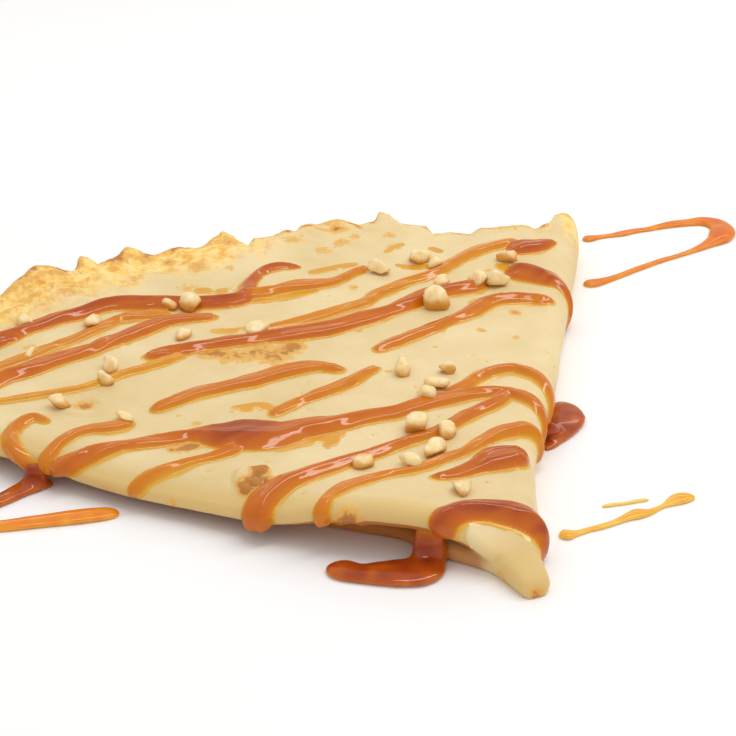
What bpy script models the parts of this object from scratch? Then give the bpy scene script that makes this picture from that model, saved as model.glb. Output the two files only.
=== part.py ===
"""Honey crepe: one thin crepe folded twice into a quarter, with thick honey drizzle and chopped nuts.

The folded tip points towards -Y and the open, ragged rim lies at the far side. +Z is up and the
crepe rests on Z = 0. Shapes are worked out in millimetres in a plan whose origin is the tip, and
to_part moves them to metres, with the origin at the middle of the underside of the whole part.
A route over the crepe is given in plan, and where it leaves the outline it goes on round the fold.
"""
import math

import bmesh
import bpy
import numpy as np
from mathutils import Vector

MM = 0.001
PART = "honey_crepe"

# Where the middle of the whole part's underside lies in the plan
ORIGIN_X = -36.6
ORIGIN_Y = 80.0

# The crepe: its radius and thickness, the angle between its two folds and the right fold's angle to +Y
CREPE_RADIUS = 137.0
SHEET = 1.2
OPENING = math.radians(73.4)
RIGHT_FOLD_LEAN = math.radians(7.1)
TIP_RADIUS = 9.5

# The layers press together towards the tip, to this share, and the sections straighten there
TIP_SQUASH = 0.42
SQUASH_FROM = 21.0
SQUASH_TO = 3.0
ROUND_FROM = 6.0
ROUND_TO = 24.0

# How far each fold bows inwards: depth, distance of the bow's middle from the tip and its reach
RIGHT_BOWS = ((2.8, 38.0, 24.0), (-1.8, 135.0, 28.0))
NEAR_BOWS = ((3.2, 14.0, 11.0), (-1.9, 52.0, 18.0), (-1.5, 77.0, 13.0))

# Gaps between the layers, lowest first, and how much the upper two close up towards the near corner
LOWER_GAP = 0.75
LOWER_BULGE = 0.2
BULGE_AT = 0.35
BULGE_REACH = 0.3
MIDDLE_GAP = 0.95
UPPER_GAP = 1.55
MIDDLE_CLOSING = 0.4
UPPER_CLOSING = 0.6
CLOSING_FROM = 45.0
CLOSING_TO = 90.0
CLOSING_SHARES = (0.35, 0.9)

# The upper two layers lift off the lower two at the near fold beside the tip, and droop over it further on
LIFT = 2.5
LIFT_AT = 26.0
LIFT_REACH = 13.0
LIFT_SHARES = (0.45, 1.0)
DROOP = 1.8
DROOP_AT_CORNER = 0.8
DROOP_REACH = 8.0
DROOP_END = 1.5
DROOP_FROM = 36.0
DROOP_TO = 50.0
CORNER_FROM = 82.0
CORNER_TO = 98.0
SWELL = 0.25
SWELL_LENGTH = 9.0

# How far the lower two layers' near fold and the upper inner fold lie back from the outline
SETBACK = 2.2
SETBACK_FURTHER_ON = 5.4
SETBACK_FROM = 17.0
SETBACK_TO = 31.0
INNER_SETBACK = 0.8

# How finely the sheet is divided
COLUMNS = {"top": 22, "near_upper": 6, "second": 8, "inner": 4, "third": 8, "near_lower": 4,
           "bottom": 8, "outer": 7}
RINGS = 11

# The nose that the folds press into at the tip: distance from the tip, width and height
NOSE = ((0.2, 3.4, 2.0), (1.2, 5.2, 3.2), (4.0, 6.4, 4.1), (7.0, 7.6, 4.7), (10.5, 9.8, 5.3),
        (13.5, 11.5, 5.6))
NOSE_LEAN = math.radians(-23.0)
NOSE_SIDES = 12
NOSE_BOXINESS = 0.62

# Rim radius round the sheet, by loop position: top, near fold, second layer, inner fold and so on
RIM_STOPS = ((0.0, 140.5), (0.04, 131.5), (0.15, 134), (0.3, 139), (0.5, 140), (0.7, 145), (0.88, 146),
             (0.94, 140), (1.0, 137), (2.0, 141), (2.5, 140), (3.0, 135), (4.0, 134), (5.0, 138),
             (6.0, 139), (7.0, 138), (7.4, 141), (7.7, 143), (8.0, 140.5))
RIM_WAVES = ((11, 1.2, 0.4), (29, 1.2, 1.9), (61, 1.4, 0.9))
RIM_CURL = 2.8
CURL_WIDTH = 13.0
CURL_BEYOND = 4.0
CURL_CHANGE = 0.45
CURL_WAVES = 31.0

# Honey: how deep its underside and its sides sit in the crepe, how far over the table its strands, pools
# and falls stay, how finely it is divided, its height, how far its ends reach for their width, and how far
# round a fold it wraps
BURIED = 0.45
SIDES_SUNK = 0.25
LEAST_RISE = 0.2
POOL_RISE = 0.03
FALL_RISE = 0.06
FINE_STEP = 0.5
LEAST_MOVE = 0.2
LEAST_STEP = 1.5
RING_STEP = 7.0
RING_TURN = math.radians(35.0)
POOL_STEP = 3.0
FALL_STEP = 2.0
SIDES = 7
LEAST_HEIGHT = 0.25
HEIGHT_TO_WIDTH = 0.27
MOST_HEIGHT = 1.95
ROUNDED_END = 0.35
NARROW_END = 0.45
MOST_WRAP = math.radians(125.0)

# Corners closer than this after the union are one (mm)
MERGE = 0.002

# Strands on the crepe: points in plan (mm), each with the strand's width there
STRANDS = {
    "far_left": ((-111, 63, 3), (-106, 73, 4), (-99.2, 80.6, 4.4), (-92.5, 87.2, 4.4), (-85.7, 92.3, 4.6),
                 (-80, 96, 5), (-73, 97.2, 5), (-65, 97.2, 4.8), (-58, 97.2, 5), (-54.2, 98, 5.2),
                 (-52.6, 101.5, 4.4), (-52.3, 106, 3.2), (-50.1, 111.3, 2.8), (-46.1, 114.2, 2.6),
                 (-41.6, 114.2, 1.6)),
    "far_left_branch": ((-53.5, 99.5, 4), (-48.4, 101.8, 4.4), (-42.5, 104, 4.2), (-37.8, 104.8, 3.8),
                        (-34.7, 106.3, 3.4), (-30, 111, 3.2), (-27.8, 113.6, 2.4)),
    "left_wide": ((-108, 53, 3), (-102, 58.5, 4), (-96.5, 64.1, 4.4), (-92.7, 67.4, 4.6), (-88, 71.3, 4.6),
                  (-84, 74, 4.4), (-80.2, 77.4, 4.4), (-75.4, 82.1, 4.2), (-71.3, 86, 4.2), (-66, 89.5, 4),
                  (-58, 91, 2.4)),
    "left_thin": ((-104, 63, 2.2), (-97.4, 69.8, 2.6), (-92.2, 74.3, 2.8), (-88.3, 78, 2.8),
                  (-84.3, 81.3, 2.8), (-79.3, 87, 3), (-75, 91, 3), (-68, 92.3, 2.6)),
    "left_yellow": ((-103.5, 51.5, 1.8), (-98, 54.8, 2), (-92, 57, 2), (-87.1, 58.4, 2), (-82.2, 60.3, 2),
                    (-78.5, 62.8, 2.2), (-73.8, 66.6, 2.4), (-70.2, 69.1, 2.4), (-66.5, 71.5, 2.6),
                    (-63, 74, 2.4)),
    "middle_long": ((-70, 74, 4), (-60, 77.3, 4.5), (-48, 80.2, 4.5), (-36, 83.7, 4.8), (-25, 91, 4.8),
                    (-20.5, 95.5, 4.5), (-16, 99.8, 4.5), (-11.5, 102.4, 5), (-7.5, 104, 5),
                    (-4, 105.3, 3.4)),
    "middle_thin": ((-50, 84, 2.2), (-46.4, 85.2, 2.6), (-40.5, 88, 2.8), (-34.5, 92, 3), (-28.4, 96.8, 3),
                    (-25.3, 101.2, 3), (-20, 105.8, 3), (-14, 110.6, 3.2), (-10.9, 114.9, 3.4),
                    (-7.1, 119.4, 3.8), (-2, 124.2, 4.2), (2.5, 126.2, 4), (5, 126.4, 2.4)),
    "far_dark": ((2.4, 122.8, 3), (5.3, 124, 5.4), (8, 124.7, 5.4), (10.5, 125.9, 4), (12.5, 127, 2)),
    "right_far": ((-26, 74.5, 3.2), (-22.5, 77.5, 3.5), (-18, 82, 3.5), (-12.5, 87.3, 3.5), (-8, 91.7, 3.8),
                  (-3.7, 96.6, 3.8), (-0.5, 98.5, 3.8), (3.8, 98.9, 4), (9.3, 97.8, 3.8)),
    "right_side": ((1.5, 110.5, 4), (4.2, 111.6, 6.5), (8, 109.6, 5.5), (12, 106, 3.4), (14.9, 102.8, 2.6),
                   (17, 99.4, 2.6), (17.8, 96.4, 2.2), (17.6, 94.2, 1.6)),
    "centre_left": ((-67, 52.2, 3), (-60, 57.2, 3.5), (-50, 61.7, 4), (-42, 66.2, 4), (-37, 67.2, 4),
                    (-32.5, 66.2, 3)),
    "centre_right": ((-45, 48.8, 3), (-40, 53.7, 3), (-34, 58.7, 3.5), (-26, 67.2, 2)),
    "main": ((-83.8, 34.6, 2.6), (-81.1, 35.1, 3.4), (-78.7, 35.6, 4), (-74.7, 37, 3.8), (-70, 38.6, 3.4),
             (-65.3, 39.8, 3.6), (-60.8, 41, 4), (-56.8, 41.8, 4.6), (-53.2, 41.3, 8.2),
             (-49.5, 41.4, 11.2), (-46, 41, 10.8), (-43, 41.2, 8.6), (-40, 42.8, 6.4), (-36, 44, 5.6),
             (-32, 45.6, 4.8), (-27.5, 47.5, 4.2), (-22, 49.2, 4.4), (-16, 52.6, 4.2), (-11.5, 55, 4.2),
             (-7.2, 56.6, 3.6), (-2.7, 57, 3.2), (0.8, 55.4, 3), (3.6, 52.6, 2.6), (6.2, 49.9, 2.4),
             (8, 47, 2.2), (8.6, 44.2, 1.6)),
    "main_loop": ((-13, 56.5, 3.4), (-11.4, 58, 3.4), (-8.1, 62.1, 3.4), (-4.7, 65.2, 3.4),
                  (-0.4, 66.8, 3.4), (3.2, 64.8, 3), (5.6, 61.5, 2.8), (7.4, 58.8, 2.4), (8.6, 56, 2),
                  (9.2, 53.5, 1.6)),
    "near_left_hook": ((-85, 47.6, 1.8), (-87.9, 49, 2.6), (-90.4, 46.9, 3), (-91.4, 43.2, 3),
                       (-90.6, 40, 3.2), (-88.8, 37.2, 3.6), (-87.3, 34.8, 4), (-86.2, 32.6, 3.5)),
    "near_left_loop": ((-86.4, 32.6, 3.2), (-84.6, 35.5, 3.4), (-83.2, 38, 3.2), (-81.5, 40.8, 3),
                       (-77.9, 43.8, 3.2), (-74.2, 45.4, 3.6), (-70.3, 47, 3.2)),
    "near_left_thin": ((-68.5, 27.1, 2.2), (-66.8, 28.5, 3), (-65.2, 29.6, 3), (-62.8, 30.8, 2.8),
                       (-60.1, 31.9, 2.6), (-55.9, 33.2, 2.8), (-52.8, 35, 3), (-50.2, 37.4, 3.4)),
    "near_wide": ((-47.3, 14.2, 5), (-46.8, 17, 6.6), (-45.6, 19.8, 6), (-43.2, 22, 5), (-40.6, 24.2, 4.6),
                  (-37.4, 26.6, 4.4), (-32.6, 30.2, 4), (-27, 34, 3.6), (-21.7, 37.8, 3.4),
                  (-17.6, 40.4, 3.4), (-12.5, 44.6, 3), (-8.8, 49, 3), (-4.5, 53.4, 3), (-2, 55.8, 3)),
    "near_thin": ((-36.2, 10.8, 2.4), (-35.9, 12.4, 3), (-35.3, 15, 3), (-34.4, 17.6, 3), (-32, 20.6, 3),
                  (-29, 22.8, 2.8), (-25.7, 25, 2.6), (-21.9, 27, 2.5), (-18.1, 29.2, 2.5),
                  (-13, 33.2, 2.8), (-8.9, 37.4, 3), (-5.2, 40.8, 3.6), (-1.9, 42.6, 4), (1.2, 43.7, 3.6),
                  (3.8, 43.4, 3), (5.8, 42.2, 2.4), (7.2, 41, 2)),
    "near_drop": ((-16.9, 25.2, 1.8), (-13.2, 26.6, 3), (-9.3, 29.3, 4.6), (-5.6, 32, 7), (-2.7, 32.9, 7.4),
                  (-0.9, 33, 5)),
    "tip": ((-17.6, 8, 2.6), (-15.8, 9.8, 4), (-14.2, 11.6, 4.6), (-12.3, 13.5, 4.8), (-9, 15, 5),
            (-5.2, 15.3, 5.2), (-2, 14.3, 5.4), (0.6, 12.7, 5), (2.6, 10.8, 4), (3.6, 9.4, 2.6)),
}

# Falls of honey from an edge to the table: points in space, each with its width
FALLS = {
    "near_fall": ((-17.6, 13, 7, 4.5), (-17.5, 12.3, 4.5, 5.4), (-17.5, 12, 2.5, 6), (-17.5, 11, 1, 6.5)),
    "left_fall": ((-86, 36.8, 4.6, 4), (-86, 36.6, 3, 4.4), (-86.3, 36.6, 1.2, 4.8)),
    "right_fall": ((5, 51.5, 4, 3), (6.2, 52.5, 2.8, 3), (7, 54.5, 1.7, 3)),
}

# Honey on the table that flows from the crepe: points in plan with widths
POOLS = {
    "near_pool": ((-17.4, 13, 5.6), (-17.8, 9.5, 7), (-19.5, 7.8, 8.4), (-22.5, 7.4, 8), (-25.8, 7.2, 6.2),
                  (-29, 7.3, 5), (-32, 8.4, 5.8), (-34.8, 9.6, 5.4)),
    "right_pool": ((4.6, 49.5, 2.2), (6.4, 53.2, 4), (8.4, 57.5, 6), (9.6, 61.6, 7.2), (9, 65.6, 5.6),
                   (7.4, 68, 3.6)),
    "left_pool": ((-83, 37.2, 3.4), (-85.8, 36.9, 4.8), (-88.4, 34.9, 4.4), (-91.4, 31.6, 3.8),
                  (-95.5, 28.8, 3.6), (-101, 27.6, 3.4), (-107, 27.8, 3.2)),
}

# Honey that lies on the table by itself, one piece each
LOOSE = {
    "honey_strand_left": ((-70.4, 27.2, 3), (-72.5, 26.8, 3.8), (-80.3, 25, 4), (-85.3, 23.8, 4),
                          (-90.4, 22.6, 3.8), (-98, 21.6, 3.6), (-104, 21.3, 3.4), (-111, 22.1, 3)),
    "honey_strand_right": ((4.5, 19.4, 3), (5.6, 19.8, 3.4), (7.5, 20.5, 1.7), (9.8, 21.7, 1.4),
                           (12, 22.7, 1.5), (14.3, 24, 1.5), (16.6, 25.6, 2), (18.7, 26.8, 2.9),
                           (20.7, 27.5, 1.9), (22.4, 28.8, 1.4), (23.8, 29.9, 1.5), (26, 31.6, 3.3),
                           (27.8, 32.4, 3.2), (29.6, 32.8, 2)),
    "honey_strand_thin": ((12.7, 29.5, 0.9), (15, 30.2, 1), (17.2, 30.7, 0.9), (19.4, 31.5, 1),
                          (21.4, 32, 0.9)),
    "honey_loop_far": ((18.5, 123.3, 3.4), (21.2, 124.1, 2.8), (24.6, 126.3, 2), (27.5, 128.6, 1.8),
                       (30.6, 131.3, 1.8), (33.6, 133.7, 1.8), (36.6, 136.1, 1.8), (39.7, 138.2, 1.8),
                       (42.7, 140.3, 1.9), (45.9, 142.8, 2.2), (48.9, 145.6, 3.2), (51.6, 148.6, 5),
                       (53, 152.6, 6.2), (52.4, 156.4, 5.6), (49.5, 158.5, 4.2), (46.2, 158, 3.2),
                       (42.2, 157, 3), (39.1, 155.7, 2.4), (36.1, 154.2, 1.9), (33.1, 153.2, 2),
                       (30.1, 151.6, 2.4), (27.1, 150.5, 2), (24.2, 149.5, 2.2), (21.7, 148.3, 3.4),
                       (20.7, 147.8, 2.8)),
}

# Chopped nuts: plan positions and their usual half size
NUTS = ((-95, 87.5), (-92.5, 74.5), (-82, 88), (-67.5, 95.5), (-63.5, 95.5), (-64, 82.5), (-76.5, 69),
        (-77, 63.5), (-84, 53.5), (-71.5, 48), (-49, 82), (-25.5, 111), (-17.5, 117), (-13.5, 114.5),
        (-14, 96), (-12.5, 105), (-5.5, 106), (-1, 106), (1.5, 117.5), (-21, 65.5), (-12.5, 65), (-15, 59),
        (-17.5, 54), (-19.5, 42.5), (-13.5, 41), (-16, 34), (-28.5, 29), (-20.5, 29.5), (-12, 20))
NUT_SIZE = 2.6
NUT_SEED = 5


def bump(value, middle, reach):
    return np.exp(-((value - middle) / reach) ** 2)


def ease(value, low, high):
    share = np.clip((value - low) / (high - low), 0.0, 1.0)
    return share * share * (3.0 - 2.0 * share)


def inset(r, bows):
    """How far a fold lies inside a straight line from the tip to its corner."""
    return sum(depth * bump(r, middle, reach) for depth, middle, reach in bows)


def arc_width(r):
    return r * OPENING - inset(r, RIGHT_BOWS) - inset(r, NEAR_BOWS)


def squash(r):
    """The layers press together towards the tip."""
    return TIP_SQUASH + (1.0 - TIP_SQUASH) * ease(r, SQUASH_TO, SQUASH_FROM)


def layer_heights(r, u):
    """Heights of the four layers' middles, from the table up. u is 0 at the right fold, 1 at the near one."""
    k = squash(r)
    closing = ease(r, CLOSING_FROM, CLOSING_TO) * ease(u, *CLOSING_SHARES)
    lift = LIFT * bump(r, LIFT_AT, LIFT_REACH) * ease(u, *LIFT_SHARES)
    swell = SWELL * np.sin(r / SWELL_LENGTH + 4.0 * u) * np.sin(7.0 * u + 0.5)
    curl = RIM_CURL * ease(r, CREPE_RADIUS - CURL_WIDTH, CREPE_RADIUS + CURL_BEYOND)
    curl = curl * (1.0 - CURL_CHANGE + CURL_CHANGE * np.sin(CURL_WAVES * u))
    droop = DROOP + (DROOP_AT_CORNER - DROOP) * ease(r, CORNER_FROM, CORNER_TO)
    droop = droop * ease(r, DROOP_FROM, DROOP_TO) * ease(arc_width(r) * (1.0 - u), DROOP_REACH, DROOP_END)
    lower = (LOWER_GAP + LOWER_BULGE * bump(u, BULGE_AT, BULGE_REACH)) * k
    middle = (MIDDLE_GAP - MIDDLE_CLOSING * closing + lift) * k
    upper = (UPPER_GAP - UPPER_CLOSING * closing + swell + curl) * k
    sheet = SHEET * k
    bottom = sheet / 2 + 0.0 * u
    third = bottom + sheet + lower
    second = third + sheet + middle - droop
    top = second + sheet + upper
    return bottom, third, second, top


def place(r, s):
    """Plan position at radius r, a distance s along the arc from the right fold."""
    start = RIGHT_FOLD_LEAN - inset(r, RIGHT_BOWS) / r
    end = start - arc_width(r) / r
    share = s / arc_width(r)
    angle = start - s / r
    roundness = ease(r, ROUND_FROM, ROUND_TO)
    straight_x = r * (np.sin(start) + (np.sin(end) - np.sin(start)) * share)
    straight_y = r * (np.cos(start) + (np.cos(end) - np.cos(start)) * share)
    x = straight_x + roundness * (r * np.sin(angle) - straight_x)
    y = straight_y + roundness * (r * np.cos(angle) - straight_y)
    return x, y


def folds(r):
    """Arc position, height and radius of the centre line of each U-shaped fold."""
    k = squash(r)
    sheet = SHEET * k
    right = layer_heights(r, 0.0)
    near = layer_heights(r, 1.0)
    width = arc_width(r)
    setback = SETBACK + SETBACK_FURTHER_ON * ease(r, SETBACK_FROM, SETBACK_TO)
    outer = (right[3] - right[0]) / 2
    inner = (right[2] - right[1]) / 2
    upper = (near[3] - near[2]) / 2
    lower = (near[1] - near[0]) / 2
    return {
        "outer": (outer + sheet / 2, (right[3] + right[0]) / 2, outer),
        "inner": (1.5 * sheet + INNER_SETBACK * k + inner, (right[2] + right[1]) / 2, inner),
        "near_upper": (width - upper - sheet / 2, (near[3] + near[2]) / 2, upper),
        "near_lower": (width - setback * k - lower - sheet / 2, (near[1] + near[0]) / 2, lower),
    }


def section(part, share, r, side):
    """Arc position and height of a point of the sheet; side is 1 for its outer face and -1 for its inner."""
    bends = folds(r)
    half = side * SHEET * squash(r) / 2
    if part in bends:
        s, z, radius = bends[part]
        turn = math.pi * share
        if part == "outer":
            turn = math.pi * (1.0 - share)
        reach = radius - half if part == "inner" else radius + half
        towards = -1.0 if part in ("inner", "outer") else 1.0
        return s + towards * reach * np.sin(turn), z + reach * np.cos(turn)
    ends = {"top": ("outer", "near_upper", 3), "second": ("near_upper", "inner", 2),
            "third": ("inner", "near_lower", 1), "bottom": ("near_lower", "outer", 0)}
    first, last, layer = ends[part]
    s = bends[first][0] + (bends[last][0] - bends[first][0]) * share
    facing = 1.0 if part in ("top", "third") else -1.0
    return s, layer_heights(r, s / arc_width(r))[layer] + facing * half


def rim_radius(loop):
    """Radius of the ragged rim at a position round the loop, 0 to 8."""
    stops = [stop[0] for stop in RIM_STOPS]
    radii = [stop[1] for stop in RIM_STOPS]
    wave = sum(size * math.sin(2 * math.pi * count * loop / 8 + phase) for count, size, phase in RIM_WAVES)
    return float(np.interp(loop, stops, radii)) + wave


def surface(x, y):
    """Point and outward direction on top of the folded crepe, round its folds too, from a plan position."""
    r = math.hypot(x, y)
    s = r * (RIGHT_FOLD_LEAN - math.atan2(x, y)) - inset(r, RIGHT_BOWS)
    bends = folds(r)
    half = SHEET * squash(r) / 2
    s_right = bends["outer"][0]
    s_near = bends["near_upper"][0]
    inside = min(max(s, s_right), s_near)
    px, py = place(r, inside)
    qx, qy = place(r, inside + 0.5)
    along = Vector((qx - px, qy - py, 0.0)).normalized()
    up = Vector((0.0, 0.0, 1.0))
    if inside == s:
        slope = (layer_heights(r, (s + 0.5) / arc_width(r))[3] - layer_heights(r, s / arc_width(r))[3]) / 0.5
        height = layer_heights(r, s / arc_width(r))[3] + half
        return Vector((px, py, height)), (up - along * slope).normalized()
    name = "outer" if s < s_right else "near_upper"
    reach = bends[name][2] + half
    turn = (s_right - s) / reach if name == "outer" else (s - s_near) / reach
    turn = min(turn, MOST_WRAP)
    out = along * (-1.0 if name == "outer" else 1.0)
    facing = out * math.sin(turn) + up * math.cos(turn)
    return Vector((px, py, bends[name][1])) + facing * reach, facing


def to_part(point):
    return Vector(((point[0] - ORIGIN_X) * MM, (point[1] - ORIGIN_Y) * MM, point[2] * MM))


def object_from(bm, name):
    for vertex in bm.verts:
        vertex.co = to_part(vertex.co)
    bm.normal_update()
    bmesh.ops.recalc_face_normals(bm, faces=bm.faces)
    mesh = bpy.data.meshes.new(name)
    bm.to_mesh(mesh)
    bm.free()
    return bpy.data.objects.new(name, mesh)


def sheet_columns():
    """Every column of the sheet: its part, its share of that part and its place round the loop."""
    columns = []
    for number, (part, count) in enumerate(COLUMNS.items()):
        power = 2.0 if part == "second" else 1.0
        for step in range(count):
            share = (step / count) ** power
            columns.append((part, share, number + share))
    return columns


def folded_sheet():
    """The crepe as a loft of sections from the tip to the rim, with an outer and an inner face."""
    bm = bmesh.new()
    columns = sheet_columns()
    faces = {}
    for side in (1, -1):
        grid = []
        for ring in range(RINGS):
            share = ease(ring / (RINGS - 1), 0.0, 1.0)
            row = []
            for part, along, loop in columns:
                r = TIP_RADIUS + (rim_radius(loop) - TIP_RADIUS) * share
                s, z = section(part, along, r, side)
                x, y = place(r, s)
                row.append(bm.verts.new((x, y, z)))
            grid.append(row)
        for low, high in zip(grid, grid[1:]):
            for i in range(len(columns)):
                j = (i + 1) % len(columns)
                bm.faces.new((low[i], low[j], high[j], high[i]))
        faces[side] = grid
    for end in (0, -1):
        for i in range(len(columns)):
            j = (i + 1) % len(columns)
            bm.faces.new((faces[1][end][i], faces[1][end][j], faces[-1][end][j], faces[-1][end][i]))
    return object_from(bm, "crepe")


def smooth_route(points, step):
    """Points about a step apart on a smooth curve through the route's own points, ends included."""
    points = [np.array(point, float) for point in points]
    padded = [2 * points[0] - points[1]] + points + [2 * points[-1] - points[-2]]
    route = []
    for a, b, c, d in zip(padded, padded[1:], padded[2:], padded[3:]):
        count = max(1, round(float(np.linalg.norm((c - b)[:-1])) / step))
        for i in range(count):
            t = i / count
            route.append(0.5 * (2 * b + (c - a) * t + (2 * a - 5 * b + 4 * c - d) * t ** 2
                                + (3 * b - a - 3 * c + d) * t ** 3))
    route.append(points[-1])
    return route


def even_route(points, step):
    """Points at equal distances of about a step along the smooth curve through the route's own points."""
    fine = np.array(smooth_route(points, FINE_STEP))
    lengths = np.linalg.norm(np.diff(fine[:, :2], axis=0), axis=1)
    along = np.concatenate(((0.0,), np.cumsum(lengths)))
    places = np.linspace(0.0, along[-1], max(2, round(along[-1] / step)) + 1)
    return list(np.stack([np.interp(places, along, column) for column in fine.T], axis=1))


def bead_height(width):
    """Honey stands higher where it is wider, up to a limit."""
    return min(LEAST_HEIGHT + HEIGHT_TO_WIDTH * width, MOST_HEIGHT)


def lofted(name, frames, sides=SIDES, power=1.0, lowest=0.0):
    """A closed bead from frames of centre, across, up, half width, height and depth below the centre.

    A power of 1 gives a half-round top, and less gives a boxier one. Nothing in it lies below lowest.
    """
    bm = bmesh.new()
    rings = []
    for centre, across, up, half, height, depth in frames:
        ring = []
        for i in range(sides - 2):
            turn = math.pi * i / (sides - 3)
            reach = half * math.copysign(abs(math.cos(turn)) ** power, math.cos(turn))
            rise = height * abs(math.sin(turn)) ** power
            ring.append(bm.verts.new(centre + across * reach + up * rise))
        for way in (-0.75, 0.75):
            ring.append(bm.verts.new(centre + across * (half * way) - up * depth))
        for vertex in ring:
            vertex.co.z = max(vertex.co.z, lowest)
        rings.append(ring)
    for low, high in zip(rings, rings[1:]):
        for i in range(sides):
            j = (i + 1) % sides
            bm.faces.new((low[i], low[j], high[j], high[i]))
    bm.faces.new(rings[0][::-1])
    bm.faces.new(rings[-1])
    bmesh.ops.triangulate(bm, faces=bm.faces)
    return object_from(bm, name)


def nose():
    """The pressed tip of the folded crepe, which droops to the table."""
    up = Vector((0.0, 0.0, 1.0))
    axis = Vector((math.sin(NOSE_LEAN), math.cos(NOSE_LEAN), 0.0))
    across = axis.cross(up)
    frames = []
    for distance, width, height in NOSE:
        middle = axis * (distance + 0.8)
        rise = 0.45 * height
        frames.append((middle + up * rise, across, up, width / 2, height - rise, rise))
    return lofted("nose", frames, NOSE_SIDES, NOSE_BOXINESS)


def rounded_ends(stations):
    """Adds a narrow station just beyond each end, so that a bead ends round."""
    ends = []
    for end, neighbour in ((stations[0], stations[1]), (stations[-1], stations[-2])):
        away = end[:-1] - neighbour[:-1]
        tip = end.copy()
        tip[:-1] += away / np.linalg.norm(away) * (ROUNDED_END * end[-1])
        tip[-1] *= NARROW_END
        ends.append(tip)
    return [ends[0]] + stations + [ends[1]]


def rings_along(points):
    """Places, directions and widths for a strand's rings, closer together where it bends round a fold."""
    spots = [(*surface(x, y), width) for x, y, width in smooth_route(points, FINE_STEP)]
    while (spots[1][0] - spots[0][0]).length < LEAST_MOVE:
        spots.pop(0)
    while (spots[-1][0] - spots[-2][0]).length < LEAST_MOVE:
        spots.pop()
    chosen = [spots[0]]
    for spot in spots[1:-1]:
        gone = (spot[0] - chosen[-1][0]).length
        if gone >= RING_STEP or spot[1].angle(chosen[-1][1]) >= RING_TURN:
            chosen.append(spot)
    if len(chosen) > 1 and (spots[-1][0] - chosen[-1][0]).length < LEAST_STEP:
        chosen.pop()
    chosen.append(spots[-1])
    facings = [spot[1] for spot in chosen]
    stations = rounded_ends([np.array((*spot[0], spot[2])) for spot in chosen])
    return stations, [facings[0]] + facings + [facings[-1]]


def strand(name, points):
    """A bead of honey that follows the top of the crepe and bends round its folds."""
    stations, facings = rings_along(points)
    frames = []
    for i, (station, up) in enumerate(zip(stations, facings)):
        before = Vector(stations[max(i - 1, 0)][:3])
        after = Vector(stations[min(i + 1, len(stations) - 1)][:3])
        across = (after - before).cross(up).normalized()
        base = Vector(station[:3]) - up * SIDES_SUNK
        height = bead_height(station[3]) + SIDES_SUNK
        frames.append((base, across, up, station[3] / 2, height, BURIED - SIDES_SUNK))
    return lofted(name, frames, lowest=LEAST_RISE)


def table_bead(name, points, step=RING_STEP, lowest=0.0):
    """A bead of honey that lies on the table, flat underneath."""
    stations = rounded_ends(even_route(points, step))
    frames = []
    up = Vector((0.0, 0.0, 1.0))
    for i, (x, y, width) in enumerate(stations):
        before = stations[max(i - 1, 0)]
        after = stations[min(i + 1, len(stations) - 1)]
        across = Vector((after[0] - before[0], after[1] - before[1], 0.0)).cross(up).normalized()
        height = bead_height(width)
        rise = 0.3 * height
        frames.append((Vector((x, y, rise)), across, up, width / 2, height - rise, rise))
    return lofted(name, frames, lowest=lowest)


def fall(name, points):
    """Honey running down from an edge to the table, as wide as it is deep."""
    stations = smooth_route(points, FALL_STEP)
    frames = []
    for i, station in enumerate(stations):
        before = Vector(stations[max(i - 1, 0)][:3])
        after = Vector(stations[min(i + 1, len(stations) - 1)][:3])
        across = (after - before).cross(Vector((0.0, 1.0, 0.0))).normalized()
        up = across.cross(after - before).normalized()
        half = station[3] / 2
        frames.append((Vector(station[:3]), across, up, half, 0.8 * half, 0.5 * half))
    return lofted(name, frames, lowest=FALL_RISE)


def nut(name, x, y, draw):
    """A chopped piece of nut: a small block with cut corners, lying a little askew."""
    bm = bmesh.new()
    bmesh.ops.create_icosphere(bm, subdivisions=1, radius=1.0)
    size = NUT_SIZE * draw.uniform(0.8, 1.15)
    spin = draw.uniform(0.0, math.pi)
    centre, up = surface(x, y)
    for vertex in bm.verts:
        direction = vertex.co.normalized()
        reach = size * draw.uniform(0.82, 1.12)
        long_way = direction.x * reach * 1.2
        cross_way = direction.y * reach * 0.9
        vertex.co = centre + Vector((long_way * math.cos(spin) - cross_way * math.sin(spin),
                                     long_way * math.sin(spin) + cross_way * math.cos(spin),
                                     direction.z * reach * 0.85)) + up * (size * 0.62)
    return object_from(bm, name)


def toppings():
    """Everything that is fused to the crepe: its nose, strands, falls, pools and nuts."""
    made = [nose()]
    made += [strand("strand_" + name, points) for name, points in STRANDS.items()]
    made += [fall(name, points) for name, points in FALLS.items()]
    made += [table_bead(name, points, POOL_STEP, POOL_RISE) for name, points in POOLS.items()]
    draw = np.random.default_rng(NUT_SEED)
    made += [nut(f"nut_{i}", x, y, draw) for i, (x, y) in enumerate(NUTS)]
    return made


def evaluated_mesh(thing):
    bpy.context.view_layer.update()
    graph = bpy.context.evaluated_depsgraph_get()
    return bpy.data.meshes.new_from_object(thing.evaluated_get(graph))


def drop_flaps(bm):
    """Removes pairs of triangles that lie back to back on the same three corners."""
    first_on = {}
    flaps = set()
    for face in bm.faces:
        corners = frozenset(face.verts)
        if corners in first_on:
            flaps.update((face, first_on[corners]))
        first_on[corners] = face
    bmesh.ops.delete(bm, geom=list(flaps), context="FACES")


def connected_bodies(bm):
    """The mesh's faces in connected groups, the largest group first."""
    unseen = set(bm.faces)
    bodies = []
    while unseen:
        body = [unseen.pop()]
        for face in body:
            for edge in face.edges:
                fresh = [other for other in edge.link_faces if other in unseen]
                unseen.difference_update(fresh)
                body.extend(fresh)
        bodies.append(body)
    return sorted(bodies, key=len, reverse=True)


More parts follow.
